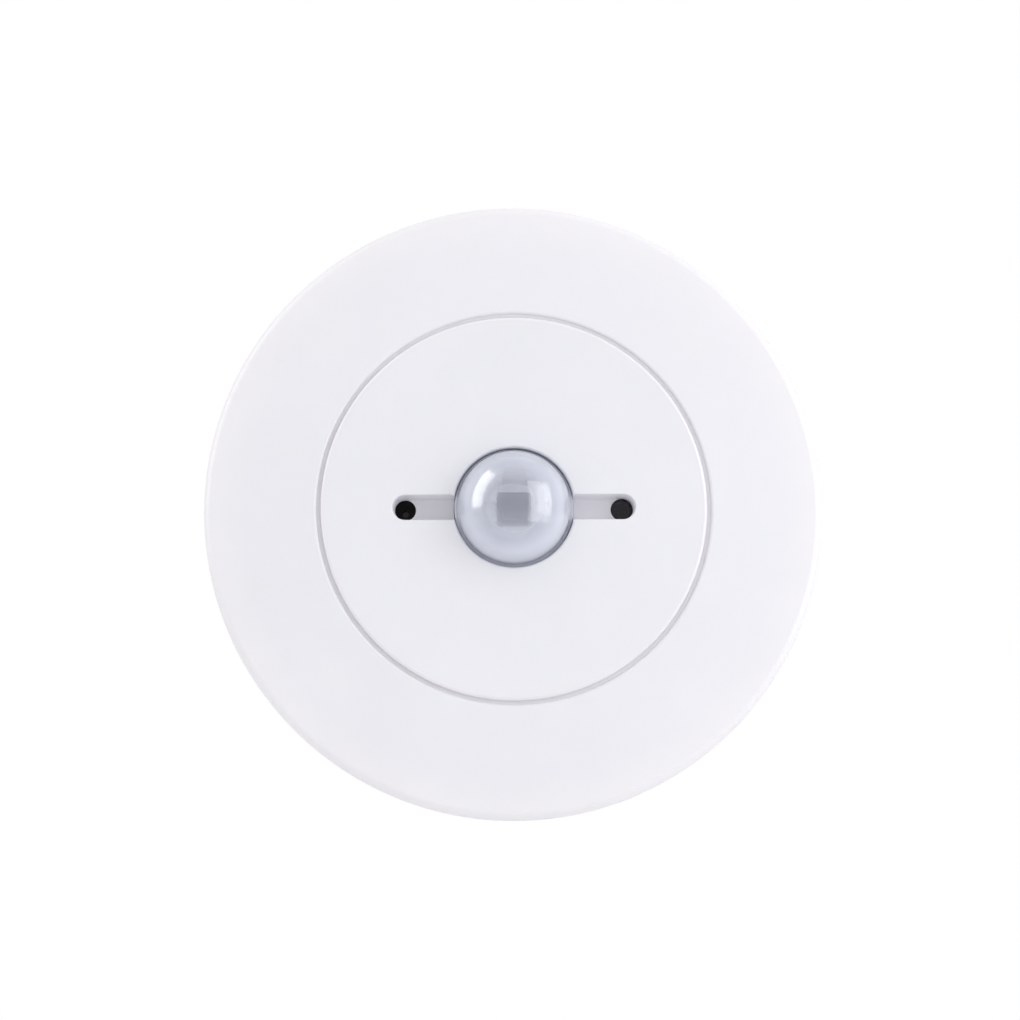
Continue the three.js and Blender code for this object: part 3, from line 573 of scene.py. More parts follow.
def channel_cutter(side):
    """A channel's inside: a soft floor edge, drafted walls and an edge that rolls over."""
    profile = filleted(
        [(0.9, FLOOR_Y), (1.5, FLOOR_Y, 0.25), (1.8, FACE_Y - 0.02, 0.32), (2.3, FACE_Y - 0.02)],
        6,
        closed=False,
    )[:-1]
    loops = [(stadium(side, half), y) for half, y in profile[1:]]
    loops.append((stadium(side, profile[-1][0]), FACE_Y - 0.8))
    return loft(loops)


def build_cover():
    """Centre cover with a thin rim, the lens hole, two channels and three legs."""
    skirt_r, skirt_inner, back = 26.6, 25.4, -3.2
    inside = LENS_HOLE - 0.6
    profile = [
        (inside, back),
        (inside, FACE_Y),
        *arc(COVER_R - 0.5, FACE_Y + 0.5, 0.5, 270, 360, 8),
        *filleted(
            [(COVER_R, FACE_Y + 0.5), (skirt_r, FACE_Y + 0.5, 0.08), (skirt_r, 0.1, 0.15),
             (skirt_inner, 0.1, 0.15), (skirt_inner, back, 0.5), (inside, back)],
            6,
            closed=False,
        )[1:-1],
    ]
    leg = filleted(
        [(25.45, -0.2), (26.55, -0.2), (26.55, 2.2), (26.8, 2.5, 0.1), (26.6, 3.3, 0.2),
         (25.45, 3.3, 0.2)],
        4,
    )
    hole = filleted(
        [(0, -6), (LENS_HOLE + 0.9, -6), (LENS_HOLE + 0.9, FACE_Y - 0.02),
         (LENS_HOLE, FACE_Y - 0.02, 0.42), (LENS_HOLE, 0), (0, 0)],
        8,
    )
    pads = [prism(stadium(s, 3), back - 0.1, FLOOR_Y + 0.6, edge=0.2) for s in SIDES]
    legs = about(LEG_ANGLES, lambda: prism(leg, -3, 3, "z", 0.15))
    steps = [
        *union(*pads, *legs),
        *minus(
            *[channel_cutter(s) for s in SIDES],
            lathe(hole, 192, closed=False),
            rod(1.5, -4, 0, -REACH),
            rod(1.6, -4, 0, REACH),
        ),
    ]
    piece("inner_cover_shell", combine(lathe(profile, 256), steps), FACE, ["inner_cover"])


def build_window():
    """Dark plug with a faintly crowned face."""
    top, flange, back = low("ir_window").y, high("ir_window").y - 0.6, high("ir_window").y
    radius = high("ir_window").z
    profile = filleted(
        [(0, top), (0.8, top + 0.01), (radius - 0.85, top + 0.06, 0.12), (radius - 0.85, flange),
         (radius, flange, 0.08), (radius, back, 0.08), (0, back)],
        5,
    )
    profile[0] = (0, top)
    piece("ir_window_plug", moved(lathe(profile, 64, False), REACH), DARK, ["ir_window"])


def build_light_tube():
    """Black sleeve with a pinhole diaphragm over the light sensor."""
    top, foot = low("light_tube").y, high("light_tube").y
    pinhole, inner, outer = 0.5, 1.9, 2.6
    front, back = 2.2, 2.5  # faces of the diaphragm
    profile = filleted(
        [(pinhole, front), (inner, front, 0.1), (inner, top, 0.15), (outer, top, 0.15),
         (outer, foot, 0.1), (inner, foot, 0.1), (inner, back, 0.1), (pinhole, back)],
        4,
    )
    piece("light_tube_sleeve", moved(lathe(profile, 64), -REACH), BLACK, ["light_tube"])


def build_lens():
    """Dome with a flat-faceted inside, a stepped skirt and a clamping flange."""
    flange_r, back = high("lens_dome").x, high("lens_dome").y
    flange_y = back - 0.8
    dome = arc(0, LENS_CENTRE, LENS_R, 270, 360, 48)
    dome[0] = (0, LENS_CENTRE - LENS_R)
    skirt_r, skirt_y = LENS_R + 0.38, -3.7
    skirt = filleted(
        [(LENS_R, skirt_y), (skirt_r, skirt_y, 0.1), (skirt_r, flange_y, 0.1),
         (flange_r, flange_y, 0.15), (flange_r, back, 0.15), (0, back)],
        4,
        closed=False,
    )
    inside = bmesh.new()
    bmesh.ops.create_uvsphere(inside, u_segments=12, v_segments=8, radius=7.4 * MM)
    spun(inside, 15, "Z")
    moved(inside, y=LENS_CENTRE)
    steps = minus(inside, rod(7.25, LENS_CENTRE, 0, segments=96))
    shell = combine(lathe([*dome, *skirt], 128, False), steps)
    piece("lens_shell", shell, LENS, ["lens_dome"], sharp=10)


def build_lens_holder():
    """Bright tower with a shelf round the detector and three hooks over the lens flange."""
    lip, foot = low("lens_holder").y, high("lens_holder").y
    top = high("lens_dome").y + 0.2
    profile = filleted(
        [(4.4, top + 0.1, 0.15), (8.4, top + 0.1, 0.05), (8.4, top), (10.4, top, 0.2),
         (10.4, foot - 1, 0.4), (12, foot - 1, 0.2), (12, foot, 0.1), (8.4, foot, 0.1),
         (8.4, top + 0.9, 0.3), (4.4, top + 0.9, 0.15)],
        4,
    )
    hook = filleted(
        [(9.9, 3.2), (9.9, top + 0.1), (10.45, top + 0.1), (10.45, lip + 0.7),
         (9.75, lip + 0.7, 0.1), (10.1, lip, 0.1), (11.3, lip, 0.3), (11.3, 3.2)],
        3,
    )
    hooks = about(SCREW_ANGLES, lambda: prism(hook, -1.6, 1.6, "z", 0.12))
    shell = combine(lathe(profile, 96), union(*hooks))
    piece("lens_holder_tower", shell, BODY, ["lens_holder"])


def build_detector():
    """Nickel can with a rolled top edge, a square window and its filter glass."""
    top, foot = low("pyro_can").y, high("pyro_can").y
    can = lathe(
        filleted(
            [(0, top), (4.1, top, 0.45), (4.1, foot, 0.1), (3.8, foot), (3.8, top + 0.3, 0.2),
             (0, top + 0.3)],
            6,
        ),
        96,
        False,
    )
    side = 4.9
    opening = prism(rounded_rectangle(0, 0, side, side, 0.35), top - 1, top + 1)
    piece("pyro_can_shell", combine(can, minus(opening)), NICKEL, ["pyro_can"])
    glass = box(low("pyro_filter"), high("pyro_filter"), 0.06)
    piece("pyro_filter_glass", glass, FILTER, ["pyro_filter"])


# ---- sensor board --------------------------------------------------------------------------

BOARD_FRONT = low("sensor_board").y
BOARD_BACK = high("sensor_board").y
SEAT = BOARD_FRONT - 0.1  # where front components stand
COLUMN_REACH = 25.8


def build_sensor_board():
    """Round board with screw holes and notches for the cover's stops and ribs."""
    levels = (BOARD_FRONT - 1, BOARD_BACK + 1)
    disc = rod(28.2, BOARD_FRONT, BOARD_BACK, edge=0.08, segments=160)
    holes = about(SCREW_ANGLES, lambda: rod(1.3, *levels, COLUMN_REACH))
    stops = about(STOP_ANGLES, lambda: box((25.2, levels[0], -2.4), (30, levels[1], 2.4), 0.5))
    ribs = about(LEG_ANGLES, lambda: box((26.7, levels[0], -3.4), (31, levels[1], 3.4), 0.5))
    board = combine(disc, minus(*holes, *stops, *ribs))
    piece("sensor_board_laminate", board, LAMINATE, ["sensor_board"])


def chip_places():
    """Places and turns of the small resistors and capacitors on the board's front."""
    rows = [((-17, 19.2), (2.6, 0), 5, 90), ((-21.2, -7.5), (0, 2.5), 3, 0),
            ((-21.2, 4.5), (0, 2.5), 3, 0), ((21.4, -6), (0, 2.4), 6, 0),
            ((3.4, 15.6), (2.6, 0), 3, 90), ((16.4, 10), (0, 2.4), 5, 0),
            ((-5.6, 18), (0, 2.4), 2, 0), ((-3.9, -13.6), (2.6, 0), 4, 90)]
    for (x, z), (dx, dz), count, turn in rows:
        for i in range(count):
            yield x + dx * i, z + dz * i, turn


def build_chips():
    """Surface-mounted parts: dark or ceramic middles between two tinned ends."""
    bodies, ends = [], []
    for x, z, turn in chip_places():
        half = Vector((0.8, 0.42)) if turn == 0 else Vector((0.42, 0.8))
        cap = Vector((0.28, 0)) if turn == 0 else Vector((0, 0.28))
        a, b = Vector((x, z)) - half, Vector((x, z)) + half
        inner_a, inner_b = a + cap, b - cap
        bodies.append(box((inner_a.x, SEAT - 0.42, inner_a.y), (inner_b.x, SEAT, inner_b.y), 0))
        for lo, hi in ((a, Vector((inner_a.x, b.y)) if turn == 0 else Vector((b.x, inner_a.y))),
                       (Vector((inner_b.x, a.y)) if turn == 0 else Vector((a.x, inner_b.y)), b)):
            ends.append(box((lo.x, SEAT - 0.45, lo.y), (hi.x, SEAT + 0.05, hi.y), 0.05, 2))
    piece("board_chips", joined(*bodies), BLACK, body="sensor_body")
    piece("board_chip_ends", joined(*ends), NICKEL, body="sensor_body")


def build_microcontroller():
    """Flat package with a pin-one dimple, and gull-wing leads on two sides."""
    lo, hi = low("microcontroller"), high("microcontroller")
    centre = middle("microcontroller")
    body = box((lo.x + 0.9, lo.y, lo.z + 0.3), (hi.x - 0.9, hi.y - 0.12, hi.z - 0.3), 0.15)
    dimple = rod(0.4, lo.y - 1, lo.y + 0.06, lo.x + 1.8, hi.z - 1.3, segments=24)
    package = combine(body, minus(dimple))
    piece("microcontroller_package", package, BLACK, ["microcontroller"])
    leads = []
    outline = [(0, 0.45), (0.35, 0.45), (0.5, 0.86), (0.9, 0.86), (0.9, 1), (0.42, 1), (0.3, 0.6),
               (0, 0.6)]
    for s in SIDES:
        for i in range(8):
            z = lo.z + 0.75 + i * 0.78
            bend = [(centre.x + s * (2.6 + u), lo.y + v) for u, v in outline]
            leads.append(prism(bend, z - 0.13, z + 0.13, "z"))
    piece("microcontroller_leads", joined(*leads), NICKEL, body="sensor_body")


def build_receiver():
    """Infrared receiver: a dark block with a lens bump."""
    lo, hi, centre = low("ir_receiver"), high("ir_receiver"), middle("ir_receiver")
    bump_r = 1.8
    block_y = lo.y + bump_r
    bump = lathe([(0, lo.y), *arc(0, block_y, bump_r, 272, 360, 18), (bump_r, block_y + 0.4),
                  (0, block_y + 0.4)], 64, False)
    shell = combine(box((lo.x, block_y, lo.z), hi, 0.3), union(moved(bump, centre.x)))
    piece("ir_receiver_block", shell, DARK, ["ir_receiver"])


def build_led():
    """Domed light-emitting diode with a flanged base."""
    centre, top, foot = middle("status_led"), low("status_led").y, high("status_led").y
    profile = [(0, top), *arc(0, top + 1.5, 1.5, 272, 360, 18), (1.5, foot), (0, foot)]
    bulb = moved(lathe(profile, 48, False), centre.x, 0, centre.z)
    piece("status_led_bulb", bulb, LED, ["status_led"])


def build_trimmer(name):
    """A blue square body with a round well, and a slotted rotor in it."""
    lo, hi, centre = (f(f"{name}_body") for f in (low, high, middle))
    well = rod(1.7, lo.y - 1, lo.y + 2.1, centre.x, centre.z)
    body = combine(box(lo, hi, 0.3), minus(well))
    piece(f"{name}_case", body, TRIMMER, [f"{name}_body"])
    top = low(f"{name}_rotor").y
    head = filleted([(0, top), (2.5, top, 0.35), (2.5, top + 1.1, 0.15), (1.4, top + 1.1, 0.1),
                     (1.4, top + 3.1, 0.1), (0, top + 3.1)], 4)
    turned = moved(lathe(head, 64, False), centre.x, 0, centre.z)
    slot = box((centre.x - 1.8, top - 1, centre.z - 0.4),
               (centre.x + 1.8, top + 0.6, centre.z + 0.4), 0.12)
    dot = rod(0.28, top - 1, top + 0.15, centre.x, centre.z + 1.8, segments=20)
    rotor = combine(turned, minus(slot, dot))
    piece(f"{name}_dial", rotor, ROTOR, [f"{name}_rotor"])


def build_learn_switch():
    """Tactile switch: a folded metal shell and a crowned plunger."""
    lo, hi = low("learn_switch_body"), high("learn_switch_body")
    centre = middle("learn_switch_body")
    reach = 2.2
    studs = [rod(0.45, lo.y - 0.14, lo.y + 0.2, centre.x + sx * reach, centre.z + sz * reach,
                 segments=20, edge=0.08) for sx in SIDES for sz in SIDES]
    bottom = box((lo.x, lo.y + 0.12, lo.z), hi, 0.15)
    steps = [*union(*studs), *minus(rod(1.95, lo.y - 1, lo.y + 1.4, centre.x, centre.z))]
    piece("learn_switch_shell", combine(bottom, steps), NICKEL, ["learn_switch_body"])
    top, foot = low("learn_switch_plunger").y, high("learn_switch_plunger").y
    profile = filleted(
        [(0, top), (1.1, top + 0.03), (1.7, top + 0.15, 0.2), (1.7, foot), (0, foot)], 4)
    plunger = moved(lathe(profile, 48, False), centre.x, 0, centre.z)
    piece("learn_switch_button", plunger, BLACK, ["learn_switch_plunger"])


# ---- screws --------------------------------------------------------------------------------


def build_screw(node, head_height, shank_radius, backwards):
    """Pan head with a cross recess and a threaded shank; backwards heads face +Y."""
    lo, hi, centre = low(node), high(node), middle(node)
    head_r = (hi.x - lo.x) / 2
    length = hi.y - lo.y
    profile = [
        (0, 0), (head_r * 0.55, 0.04), (head_r * 0.9, 0.3), (head_r, 0.55),
        (head_r, head_height - 0.1), (head_r - 0.1, head_height), (shank_radius, head_height),
    ]
    pitch = 0.7
    turn = head_height + 0.5
    while turn < length - 1.4:
        crest = shank_radius - 0.02
        profile += [(crest - 0.2, turn), (crest, turn + pitch / 2)]
        turn += pitch
    profile += [(shank_radius - 0.25, turn), (0.12, length), (0, length)]
    shape = lathe(profile, 48, False)
    arm = head_r * 0.62
    wide = 0.34
    cross = [
        box((-arm, -1, -wide / 2), (arm, head_height * 0.6, wide / 2), 0.08, 2),
        box((-wide / 2, -1, -arm), (wide / 2, head_height * 0.6, arm), 0.08, 2),
    ]
    bm = combine(shape, minus(*cross))
    if backwards:
        bm.transform(Matrix.Rotation(math.pi, 4, "X"))
    moved(bm, centre.x, hi.y if backwards else lo.y, centre.z)
    piece(f"{node}_body", bm, ZINC, [node])


# ---- housing and rear ----------------------------------------------------------------------

PIVOT = Vector((33.8, 14, 0))
PIN_R = 1.0


def clip_ear(z0, z1):
    """One ear of a clip bracket, for the side at +X."""
    nose = 2.6
    outline = [(29.1, 10), (PIVOT.x, PIVOT.y - nose),
               *arc(PIVOT.x, PIVOT.y, nose, -80, 90, 18), (29.1, 18)]
    return prism(outline, z0, z1, "z", 0.2)


def build_housing():
    """Flanged tube with screw columns, stops, ribs, clip brackets and hook slots."""
    inner, outer, end = 28.8, 30.5, high("housing").y
    shell = lathe(
        filleted(
            [(inner, -1.2, 0.2), (40.5, -1.2, 0.3), (40.5, 0, 0.2), (outer, 0, 0.12),
             (outer, end, 0.25), (inner, end, 0.25)],
            5,
        ),
        192,
    )
    column_y = BOARD_BACK + 0.1
    grown = [
        *about(SCREW_ANGLES, lambda: rod(3, column_y, end - 0.02, COLUMN_REACH, edge=0.15)),
        *about(SCREW_ANGLES, lambda: box((COLUMN_REACH, column_y, -3), (29.5, end - 0.02, 3), 0.1)),
        *about(STOP_ANGLES, lambda: box((25.6, 0.3, -2), (29.5, 1.3, 2), 0.15)),
        *about(LEG_ANGLES, lambda: box((27.1, 1.4, -3), (29.5, 3.7, 3), 0.25)),
        *[spun(clip_ear(*z), turn) for turn in (0, 180) for z in ((4.8, 6.6), (-6.6, -4.8))],
    ]
    cuts = [
        *about(SCREW_ANGLES, lambda: rod(1.1, column_y - 1, column_y + 8, COLUMN_REACH)),
        *about(SCREW_ANGLES, lambda: rod(1.25, end - 9, end + 1, COLUMN_REACH)),
        *about((0, 180), lambda: rod(PIN_R + 0.1, -10, 10, PIVOT.x, PIVOT.y, "z")),
        *about(HOOK_ANGLES, lambda: box((33.7, -3, -3.5), (36.5, 2, 3.5), 0.4)),
    ]
    piece("housing_shell", combine(shell, [*union(*grown), *minus(*cuts)]), BODY, ["housing"])


CAP_FRONT = 26.2
CAP_BACK = 28.1
BOX_X, BOX_Z = 19.0, 15.0
BOX_END = 38.5
HINGE_Y, HINGE_Z = 38.9, 16.8
KNUCKLE_R = 1.6
KNUCKLE_X = 13.0
HINGE_BORE_R = 0.9
INLET_R = 4.5
CLAMP = middle("cable_clamp")
CLAMP_X = 8.0


def build_rear_cap():
    """Disc with the open terminal box, its inlet, hinge knuckles and screw bosses."""
    disc = lathe(filleted([(0, CAP_FRONT), (30.5, CAP_FRONT, 0.25), (30.5, CAP_BACK, 0.6),
                           (0, CAP_BACK)], 6), 192, False)
    outside = rounded_rectangle(0, 0, 2 * BOX_X, 2 * BOX_Z, 2.2, 8)
    hollow = rounded_rectangle(0, 0, 2 * BOX_X - 3.2, 2 * BOX_Z - 3.2, 1.2, 8)
    inlet_y = CAP_BACK + INLET_R + 0.2
    inlet = [(INLET_R, BOX_END + 2), *arc(0, inlet_y, INLET_R, 0, -180, 32),
             (-INLET_R, BOX_END + 2)]
    knuckles = []
    for x in (-KNUCKLE_X, KNUCKLE_X):
        knuckles.append(rod(KNUCKLE_R, x - 3, x + 3, HINGE_Y, HINGE_Z, "x", 0.15))
        knuckles.append(box((x - 3, 36, BOX_Z - 0.5), (x + 3, BOX_END, HINGE_Z), 0.15))
    bosses = [rod(2.3, CAP_BACK - 0.5, 34.2, s * CLAMP_X, CLAMP.z, edge=0.2) for s in SIDES]
    feet = [rod(2.2, 23.7, CAP_FRONT + 0.5, 0, s * 18, edge=0.15) for s in SIDES]
    cuts = [
        prism(inlet, -BOX_Z - 1, -BOX_Z + 2, "z"),
        prism(rounded_rectangle(0, 7.55, 25.6, 11.7, 0.4), CAP_FRONT - 1, CAP_BACK + 0.4),
        rod(HINGE_BORE_R, -20, 20, HINGE_Y, HINGE_Z, "x"),
        *about(SCREW_ANGLES, lambda: rod(1.4, CAP_FRONT - 1, CAP_BACK + 1, COLUMN_REACH)),
        *[rod(1, 29.2, 36, s * CLAMP_X, CLAMP.z, segments=24) for s in SIDES],
        *[rod(1, 22, CAP_FRONT + 0.9, 0, s * 18, segments=24) for s in SIDES],
    ]
    steps = [
        *union(prism(outside, CAP_FRONT + 0.2, BOX_END, edge=0.3)),
        *minus(prism(hollow, CAP_BACK, BOX_END + 2)),
        *union(*knuckles, *bosses, *feet),
        *minus(*cuts),
    ]
    piece("rear_cap_shell", combine(disc, steps), BODY, ["rear_cap"])


def build_terminal_lid():
    """Lid with a finger groove, a hinge knuckle and two latch tongues."""
    inside, outside = 38.7, high("terminal_cover").y
    lid = prism(rounded_rectangle(0, 0, 2 * BOX_X - 0.4, 2 * BOX_Z - 0.4, 2, 8), inside, outside,
                edge=0.4)
    knuckle = rod(KNUCKLE_R, -9.7, 9.7, HINGE_Y, HINGE_Z, "x", 0.15)
    web = box((-9.7, inside, BOX_Z - 0.8), (9.7, outside, HINGE_Z), 0.1)
    tongue = filleted(
        [(33.5, -15.15), (34.1, -15.15, 0.15), (34.7, -15.4, 0.1), (38.7, -15.4, 0.3),
         (38.7, -14.2), (outside, -14.2), (outside, -16.4, 0.5), (33.5, -16.4, 0.3)],
        4,
    )
    tongues = [prism(tongue, x - 2.5, x + 2.5, "x", 0.12) for x in (-KNUCKLE_X, KNUCKLE_X)]
    grooves = [box((-6, outside - 0.35, z - 0.35), (6, outside + 1, z + 0.35), 0.15)
               for z in (-12.8, -11.3, -9.8)]
    bore = rod(HINGE_BORE_R, -20, 20, HINGE_Y, HINGE_Z, "x")
    steps = [*union(knuckle, web, *tongues), *minus(bore, *grooves)]
    piece("terminal_lid", combine(lid, steps), BODY, ["terminal_cover"])
    pin = rod(0.75, -16, 16, HINGE_Y, HINGE_Z, "x", 0.2)
    piece("terminal_lid_pin", pin, ZINC, ["terminal_cover_pin"])


def build_cable_clamp():
    """Arched bar with gripping grooves under the arch and two screw holes."""
    lo, hi = low("cable_clamp"), high("cable_clamp")
    arch = rod(6, lo.z - 1, hi.z + 1, 0, 29.5, "z", segments=96)
    grips = [rod(6.25, z - 0.3, z + 0.3, 0, 29.5, "z", segments=96)
             for z in (CLAMP.z - 1.4, CLAMP.z, CLAMP.z + 1.4)]
    holes = [rod(1.2, lo.y - 1, hi.y + 1, s * CLAMP_X, CLAMP.z) for s in SIDES]
    bar = combine(box(lo, hi, 0.4), minus(arch, *grips, *holes))
    piece("cable_clamp_bar", bar, BODY, ["cable_clamp"])


POLES = (-9, -3, 3, 9)


def build_terminal_block():
    """Four-pole block with funnelled wire entries, button wells and dividing grooves."""
    lo, hi = low("terminal_block"), high("terminal_block")
    wire_y, well_z = 31, 8.7
    body = prism(rounded_rectangle(0, (lo.z + hi.z) / 2, hi.x - lo.x, hi.z - lo.z, 0.3),
                 lo.y, hi.y, edge=0.25)
    cuts = []
    for pole in POLES:
        entry = loft([(arc(pole, wire_y, r, 0, 360, 40)[:-1], z)
                      for r, z in ((2.3, lo.z - 0.5), (1.4, lo.z + 0.9), (1.4, lo.z + 8))], "z")
        well = prism(rounded_rectangle(pole, well_z, 3.4, 3.8, 0.3), hi.y - 2.9, hi.y + 1)
        cuts += [entry, well]
    for x in (-6, 0, 6):
        cuts.append(box((x - 0.25, lo.y + 0.5, lo.z - 1), (x + 0.25, hi.y + 1, lo.z + 0.3), 0))
        cuts.append(box((x - 0.25, hi.y - 0.3, lo.z - 1), (x + 0.25, hi.y + 1, hi.z + 1), 0))
    piece("terminal_block_body", combine(body, minus(*cuts)), TERMINAL, ["terminal_block"])
    for i, pole in enumerate(POLES, 1):
        node = f"release_button_{i}"
        slot = box((pole - 0.9, high(node).y - 0.6, well_z - 0.3),
                   (pole + 0.9, high(node).y + 1, well_z + 0.3), 0.1)
        button = combine(box(low(node), high(node), 0.35), minus(slot))
        piece(f"release_key_{i}", button, RELEASE, [node])


# ---- clips ---------------------------------------------------------------------------------

CLIP_REST = -58  # degrees: direction of the arm at rest, from straight out
COIL_R = 1.7
WIRE_R = 0.4


def at_pivot(bm, turn, swing=0.0):
    """Places a mesh made at the pivot's own origin on the side at 0 or 180 degrees."""
    bm.transform(Matrix.Rotation(math.radians(swing), 4, "Z"))
    moved(bm, *PIVOT)
    return spun(bm, turn)


def build_clip_arm(side, turn):
    """Pressed-steel channel arm with a curled foot, a stiffening rib and two ears."""
    drop, sheet, half, foot = 3.0, 0.8, 4.0, (13.4, -1.4)
    strip = prism(
        [(0.2, -drop), *arc(*foot, 1.6, -90, -10, 14), *arc(*foot, 0.8, -10, -90, 12),
         (0.2, sheet - drop)],
        -half, half, "z", 0.14,
    )
    ear = filleted([(0.2, -drop), (6.5, -drop), (6.5, sheet - drop - 0.1, 0.1),
                    *arc(0, 0, 2.3, 15, 215, 24)], 4)
    ears = [prism(ear, *z, "z", 0.12) for z in ((half - sheet, half), (-half, sheet - half))]
    rib = moved(box((8, 0, -0.8), (12.6, 0.5, 0.8), 0.25), y=sheet - drop - 0.2)
    bore = rod(PIN_R + 0.1, -10, 10, 0, 0, "z")
    bm = combine(strip, [*union(*ears, rib), *minus(bore)])
    piece(f"clip_arm_{side}_sheet", at_pivot(bm, turn, CLIP_REST), ZINC, [f"clip_arm_{side}"])


def build_clip_pin(side, turn):
    """Pivot pin with a domed head at one end and a chamfer at the other."""
    shank = rod(PIN_R, -7.2, 7.2, 0, 0, "z", 0.2)
    head = rod(PIN_R + 0.6, 6.8, 7.6, 0, 0, "z", 0.3)
    bm = at_pivot(combine(shank, union(head)), turn)
    piece(f"clip_pin_{side}_shank", bm, ZINC, [f"clip_pin_{side}"])


def build_clip_spring(side, turn):
    """Torsion spring: one wire from the arm's leg, round five turns, to the wall's leg."""
    half, turns = 2.3, 5
    first = -90 + CLIP_REST
    sweep = 360 * turns + 180 + first  # down to the wall leg, which leaves at 180 degrees
    a = math.radians(CLIP_REST)
    foot = Vector((math.cos(a), math.sin(a), 0))
    path = []
    for i in range(28 * turns + 1):
        t = i / (28 * turns)
        angle = math.radians(first - sweep * t)
        z = -half + 2 * half * t
        path.append(Vector((COIL_R * math.cos(angle), COIL_R * math.sin(angle), z)))
    lean = math.radians(7)
    wall = path[-1] + 7.4 * Vector((-math.sin(lean), math.cos(lean), 0))
    bm = at_pivot(wire([path[0] + 9 * foot, *path, wall], WIRE_R - 0.01), turn)
    spring = piece(f"clip_spring_{side}_wire", bm, SPRING, [f"clip_spring_{side}"], rides=False)
    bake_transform(spring)


build_trim_ring()
build_cover()
build_window()
build_light_tube()
build_lens()
build_lens_holder()
build_detector()
build_sensor_board()
build_chips()
build_microcontroller()
build_receiver()
build_led()
build_trimmer("time_trimmer")
build_trimmer("lux_trimmer")
build_learn_switch()
build_housing()
build_rear_cap()
build_terminal_lid()
build_cable_clamp()
build_terminal_block()
for number in (1, 2, 3):
    build_screw(f"board_screw_{number}", 1.1, 1.0, False)
    build_screw(f"cap_screw_{number}", 1.4, 1.1, True)
for number in (1, 2):
    build_screw(f"clamp_screw_{number}", 1.2, 0.85, True)
    build_screw(f"power_board_screw_{number}", 1.0, 0.85, False)
for side_name, side_turn in (("right", 0), ("left", 180)):
    build_clip_arm(side_name, side_turn)
    build_clip_pin(side_name, side_turn)
    build_clip_spring(side_name, side_turn)

# ---- carried-over nodes --------------------------------------------------------------------

CARRIED = {
    "dark_window": DARK,
    "black_plastic": BLACK,
    "body_white": BODY,
    "nickel": NICKEL,
    "laminate": LAMINATE,
    "relay_blue": moulded("relay_case", (0.02, 0.07, 0.25), 0.35, spread=0.1),
    "film_box": moulded("film_capacitor", (0.62, 0.42, 0.06), 0.38, spread=0.05),
    "sleeve": moulded("capacitor_sleeve", (0.015, 0.016, 0.025), 0.3, spread=0.2),
    "ferrite": wound_copper(),
    "varistor_blue": moulded("varistor_epoxy", (0.02, 0.09, 0.36), 0.42, spread=0.15),
    "fuse_brown": moulded("fuse_cap", (0.08, 0.035, 0.02), 0.4, spread=0.1),
}


def dress_node(node):
    """Gives a CAD node that stays in sight its material and crisp edges."""
    obj = NODES[node]
    obj.data.materials.clear()
    obj.data.materials.append(CARRIED[SLOT_OF[node]])
    obj.data.shade_smooth()
    obj.data.set_sharp_from_angle(angle=math.radians(SHARP_DEGREES))


for shown in NODES:
    if not NODES[shown].hide_render:
        dress_node(shown)

# ---- stage ---------------------------------------------------------------------------------

LENS_MM = 100
SENSOR_MM = 36
FRAME_PX = 1020
RING_PX = 618.5  # how wide the trim ring comes out
ROLL = -0.35  # degrees
VIEW_AZIMUTH, VIEW_ELEVATION = -1, -8  # degrees
VIEW_CENTRE = (-0.53, -2, -0.02)
FLOOR_R = 0.36  # metres
FLOOR_HEIGHT = -0.1  # metres
# how strongly the white lights the sensor, by direction along Y: in front of it and behind it
TENT_FRONT = {"From Min": -1.0, "From Max": -0.7, "To Min": 0.47, "To Max": 1.07}
TENT_BACK = {"From Min": 0.0, "From Max": 0.3, "To Min": 1.0, "To Max": 0.8}


def aim(obj, target):
    """Turns a camera or a light so that it looks at a place."""
    obj.rotation_mode = "QUATERNION"
    obj.rotation_quaternion = (target - obj.location).to_track_quat("-Z", "Y")


def direction(azimuth, elevation):
    """Unit vector from the object towards a place: azimuth 0 is in front, 90 to the right."""
    a, e = math.radians(azimuth), math.radians(elevation)
    return Vector((math.sin(a) * math.cos(e), -math.cos(a) * math.cos(e), math.sin(e)))


def make_camera():
    """A little below the sensor's axis, and far enough for the ring to fit."""
    data = bpy.data.cameras.new("camera")
    data.lens = LENS_MM
    data.sensor_width = SENSOR_MM
    camera = bpy.data.objects.new("camera", data)
    scene.collection.objects.link(camera)
    distance = 2 * RING_R * MM * LENS_MM * FRAME_PX / (SENSOR_MM * RING_PX)
    target = Vector(VIEW_CENTRE) * MM
    camera.location = target + direction(VIEW_AZIMUTH, VIEW_ELEVATION) * distance
    aim(camera, target)
    camera.rotation_quaternion @= Quaternion((0, 0, 1), math.radians(ROLL))
    scene.camera = camera


def softbox(name, azimuth, elevation, distance, width, height, radiance, fills=True):
    """An area light turned to the sensor; one that doesn't fill is only seen in reflections."""
    data = bpy.data.lights.new(name, "AREA")
    data.shape = "RECTANGLE"
    data.size = width
    data.size_y = height
    data.energy = radiance * width * height * math.pi
    light = bpy.data.objects.new(name, data)
    scene.collection.objects.link(light)
    light.location = direction(azimuth, elevation) * distance
    light.visible_diffuse = fills
    aim(light, Vector((0, 0, 0)))


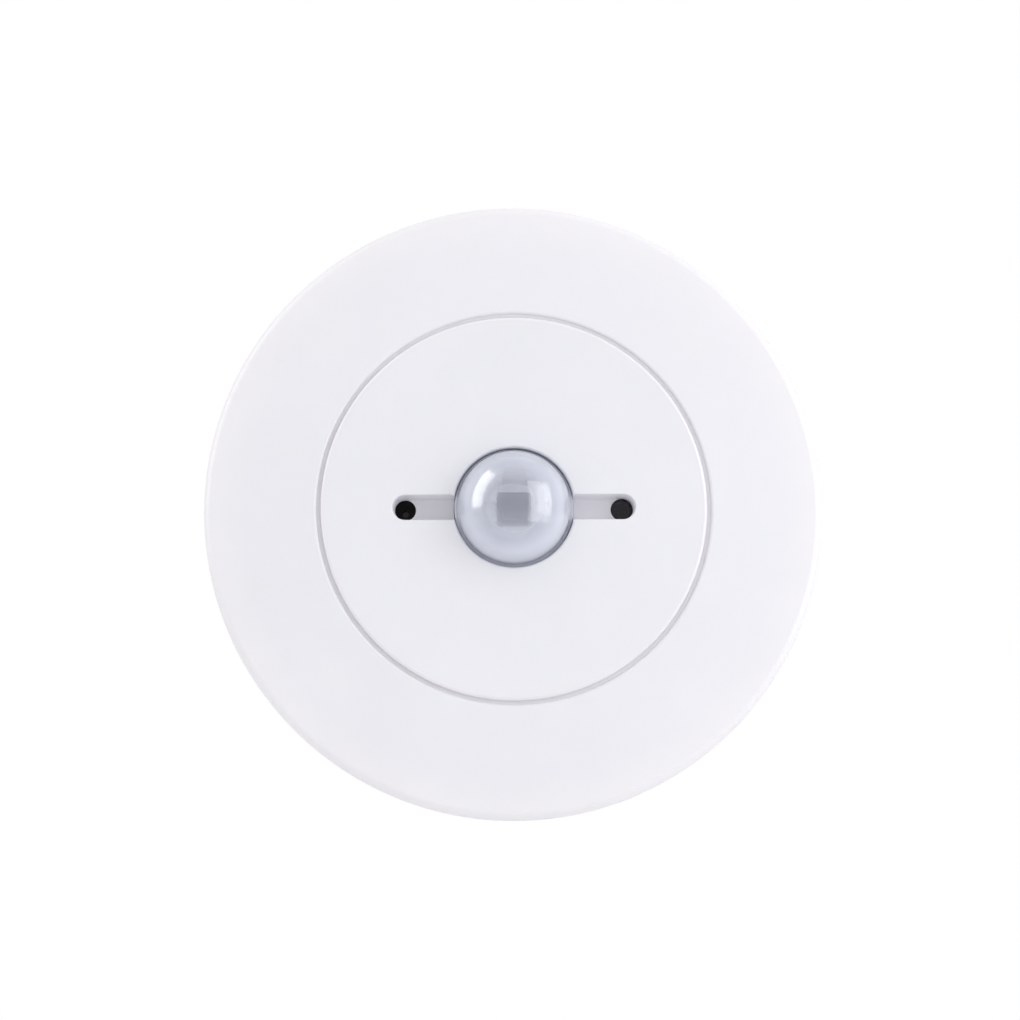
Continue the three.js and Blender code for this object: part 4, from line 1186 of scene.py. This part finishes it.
def make_world():
    """Full white to the eye, but lighting like a tent: dim in front, and dimmer behind."""
    world = bpy.data.worlds.new("studio")
    scene.world = world
    world.use_nodes = True
    nodes, links = world.node_tree.nodes, world.node_tree.links
    seen = nodes["Background"]
    seen.inputs["Strength"].default_value = 1.0
    seen.inputs["Color"].default_value = (1, 1, 1, 1)
    lighting = nodes.new("ShaderNodeBackground")
    lighting.inputs["Color"].default_value = (1, 1, 1, 1)
    toward = nodes.new("ShaderNodeTexCoord")
    split = nodes.new("ShaderNodeSeparateXYZ")
    links.new(toward.outputs["Generated"], split.inputs["Vector"])
    both = nodes.new("ShaderNodeMath")
    both.operation = "MULTIPLY"
    links.new(both.outputs["Value"], lighting.inputs["Strength"])
    for share, levels in zip(both.inputs, (TENT_FRONT, TENT_BACK)):
        tent = nodes.new("ShaderNodeMapRange")
        tent.interpolation_type = "SMOOTHSTEP"
        for key, value in levels.items():
            tent.inputs[key].default_value = value
        links.new(split.outputs["Y"], tent.inputs["Value"])
        links.new(tent.outputs["Result"], share)
    path = nodes.new("ShaderNodeLightPath")
    mix = nodes.new("ShaderNodeMixShader")
    links.new(path.outputs["Is Camera Ray"], mix.inputs["Fac"])
    links.new(lighting.outputs["Background"], mix.inputs[1])
    links.new(seen.outputs["Background"], mix.inputs[2])
    links.new(mix.outputs["Shader"], nodes["World Output"].inputs["Surface"])


def make_floor():
    """A pale round table top well under the sensor."""
    bm = bmesh.new()
    bmesh.ops.create_circle(bm, cap_ends=True, segments=128, radius=FLOOR_R)
    floor = raw_object(bm, "floor")
    floor.location = (0, 0, FLOOR_HEIGHT)
    shade = Shader("floor_paint", (0.86, 0.86, 0.87), 0.7)
    shade.mottle(shade.noise(0.02, 3), 0.01)
    floor.data.materials.append(shade.material)


scene.view_settings.view_transform = "Standard"
scene.view_settings.look = "None"
make_camera()
make_world()
make_floor()
softbox("key_right", 56, 12, 0.7, 0.35, 0.6, 1.7)
softbox("card_right", 64, 8, 0.8, 0.45, 0.8, 3.2, fills=False)
softbox("card_left", -80, 29, 0.8, 0.4, 0.9, 6.5, fills=False)
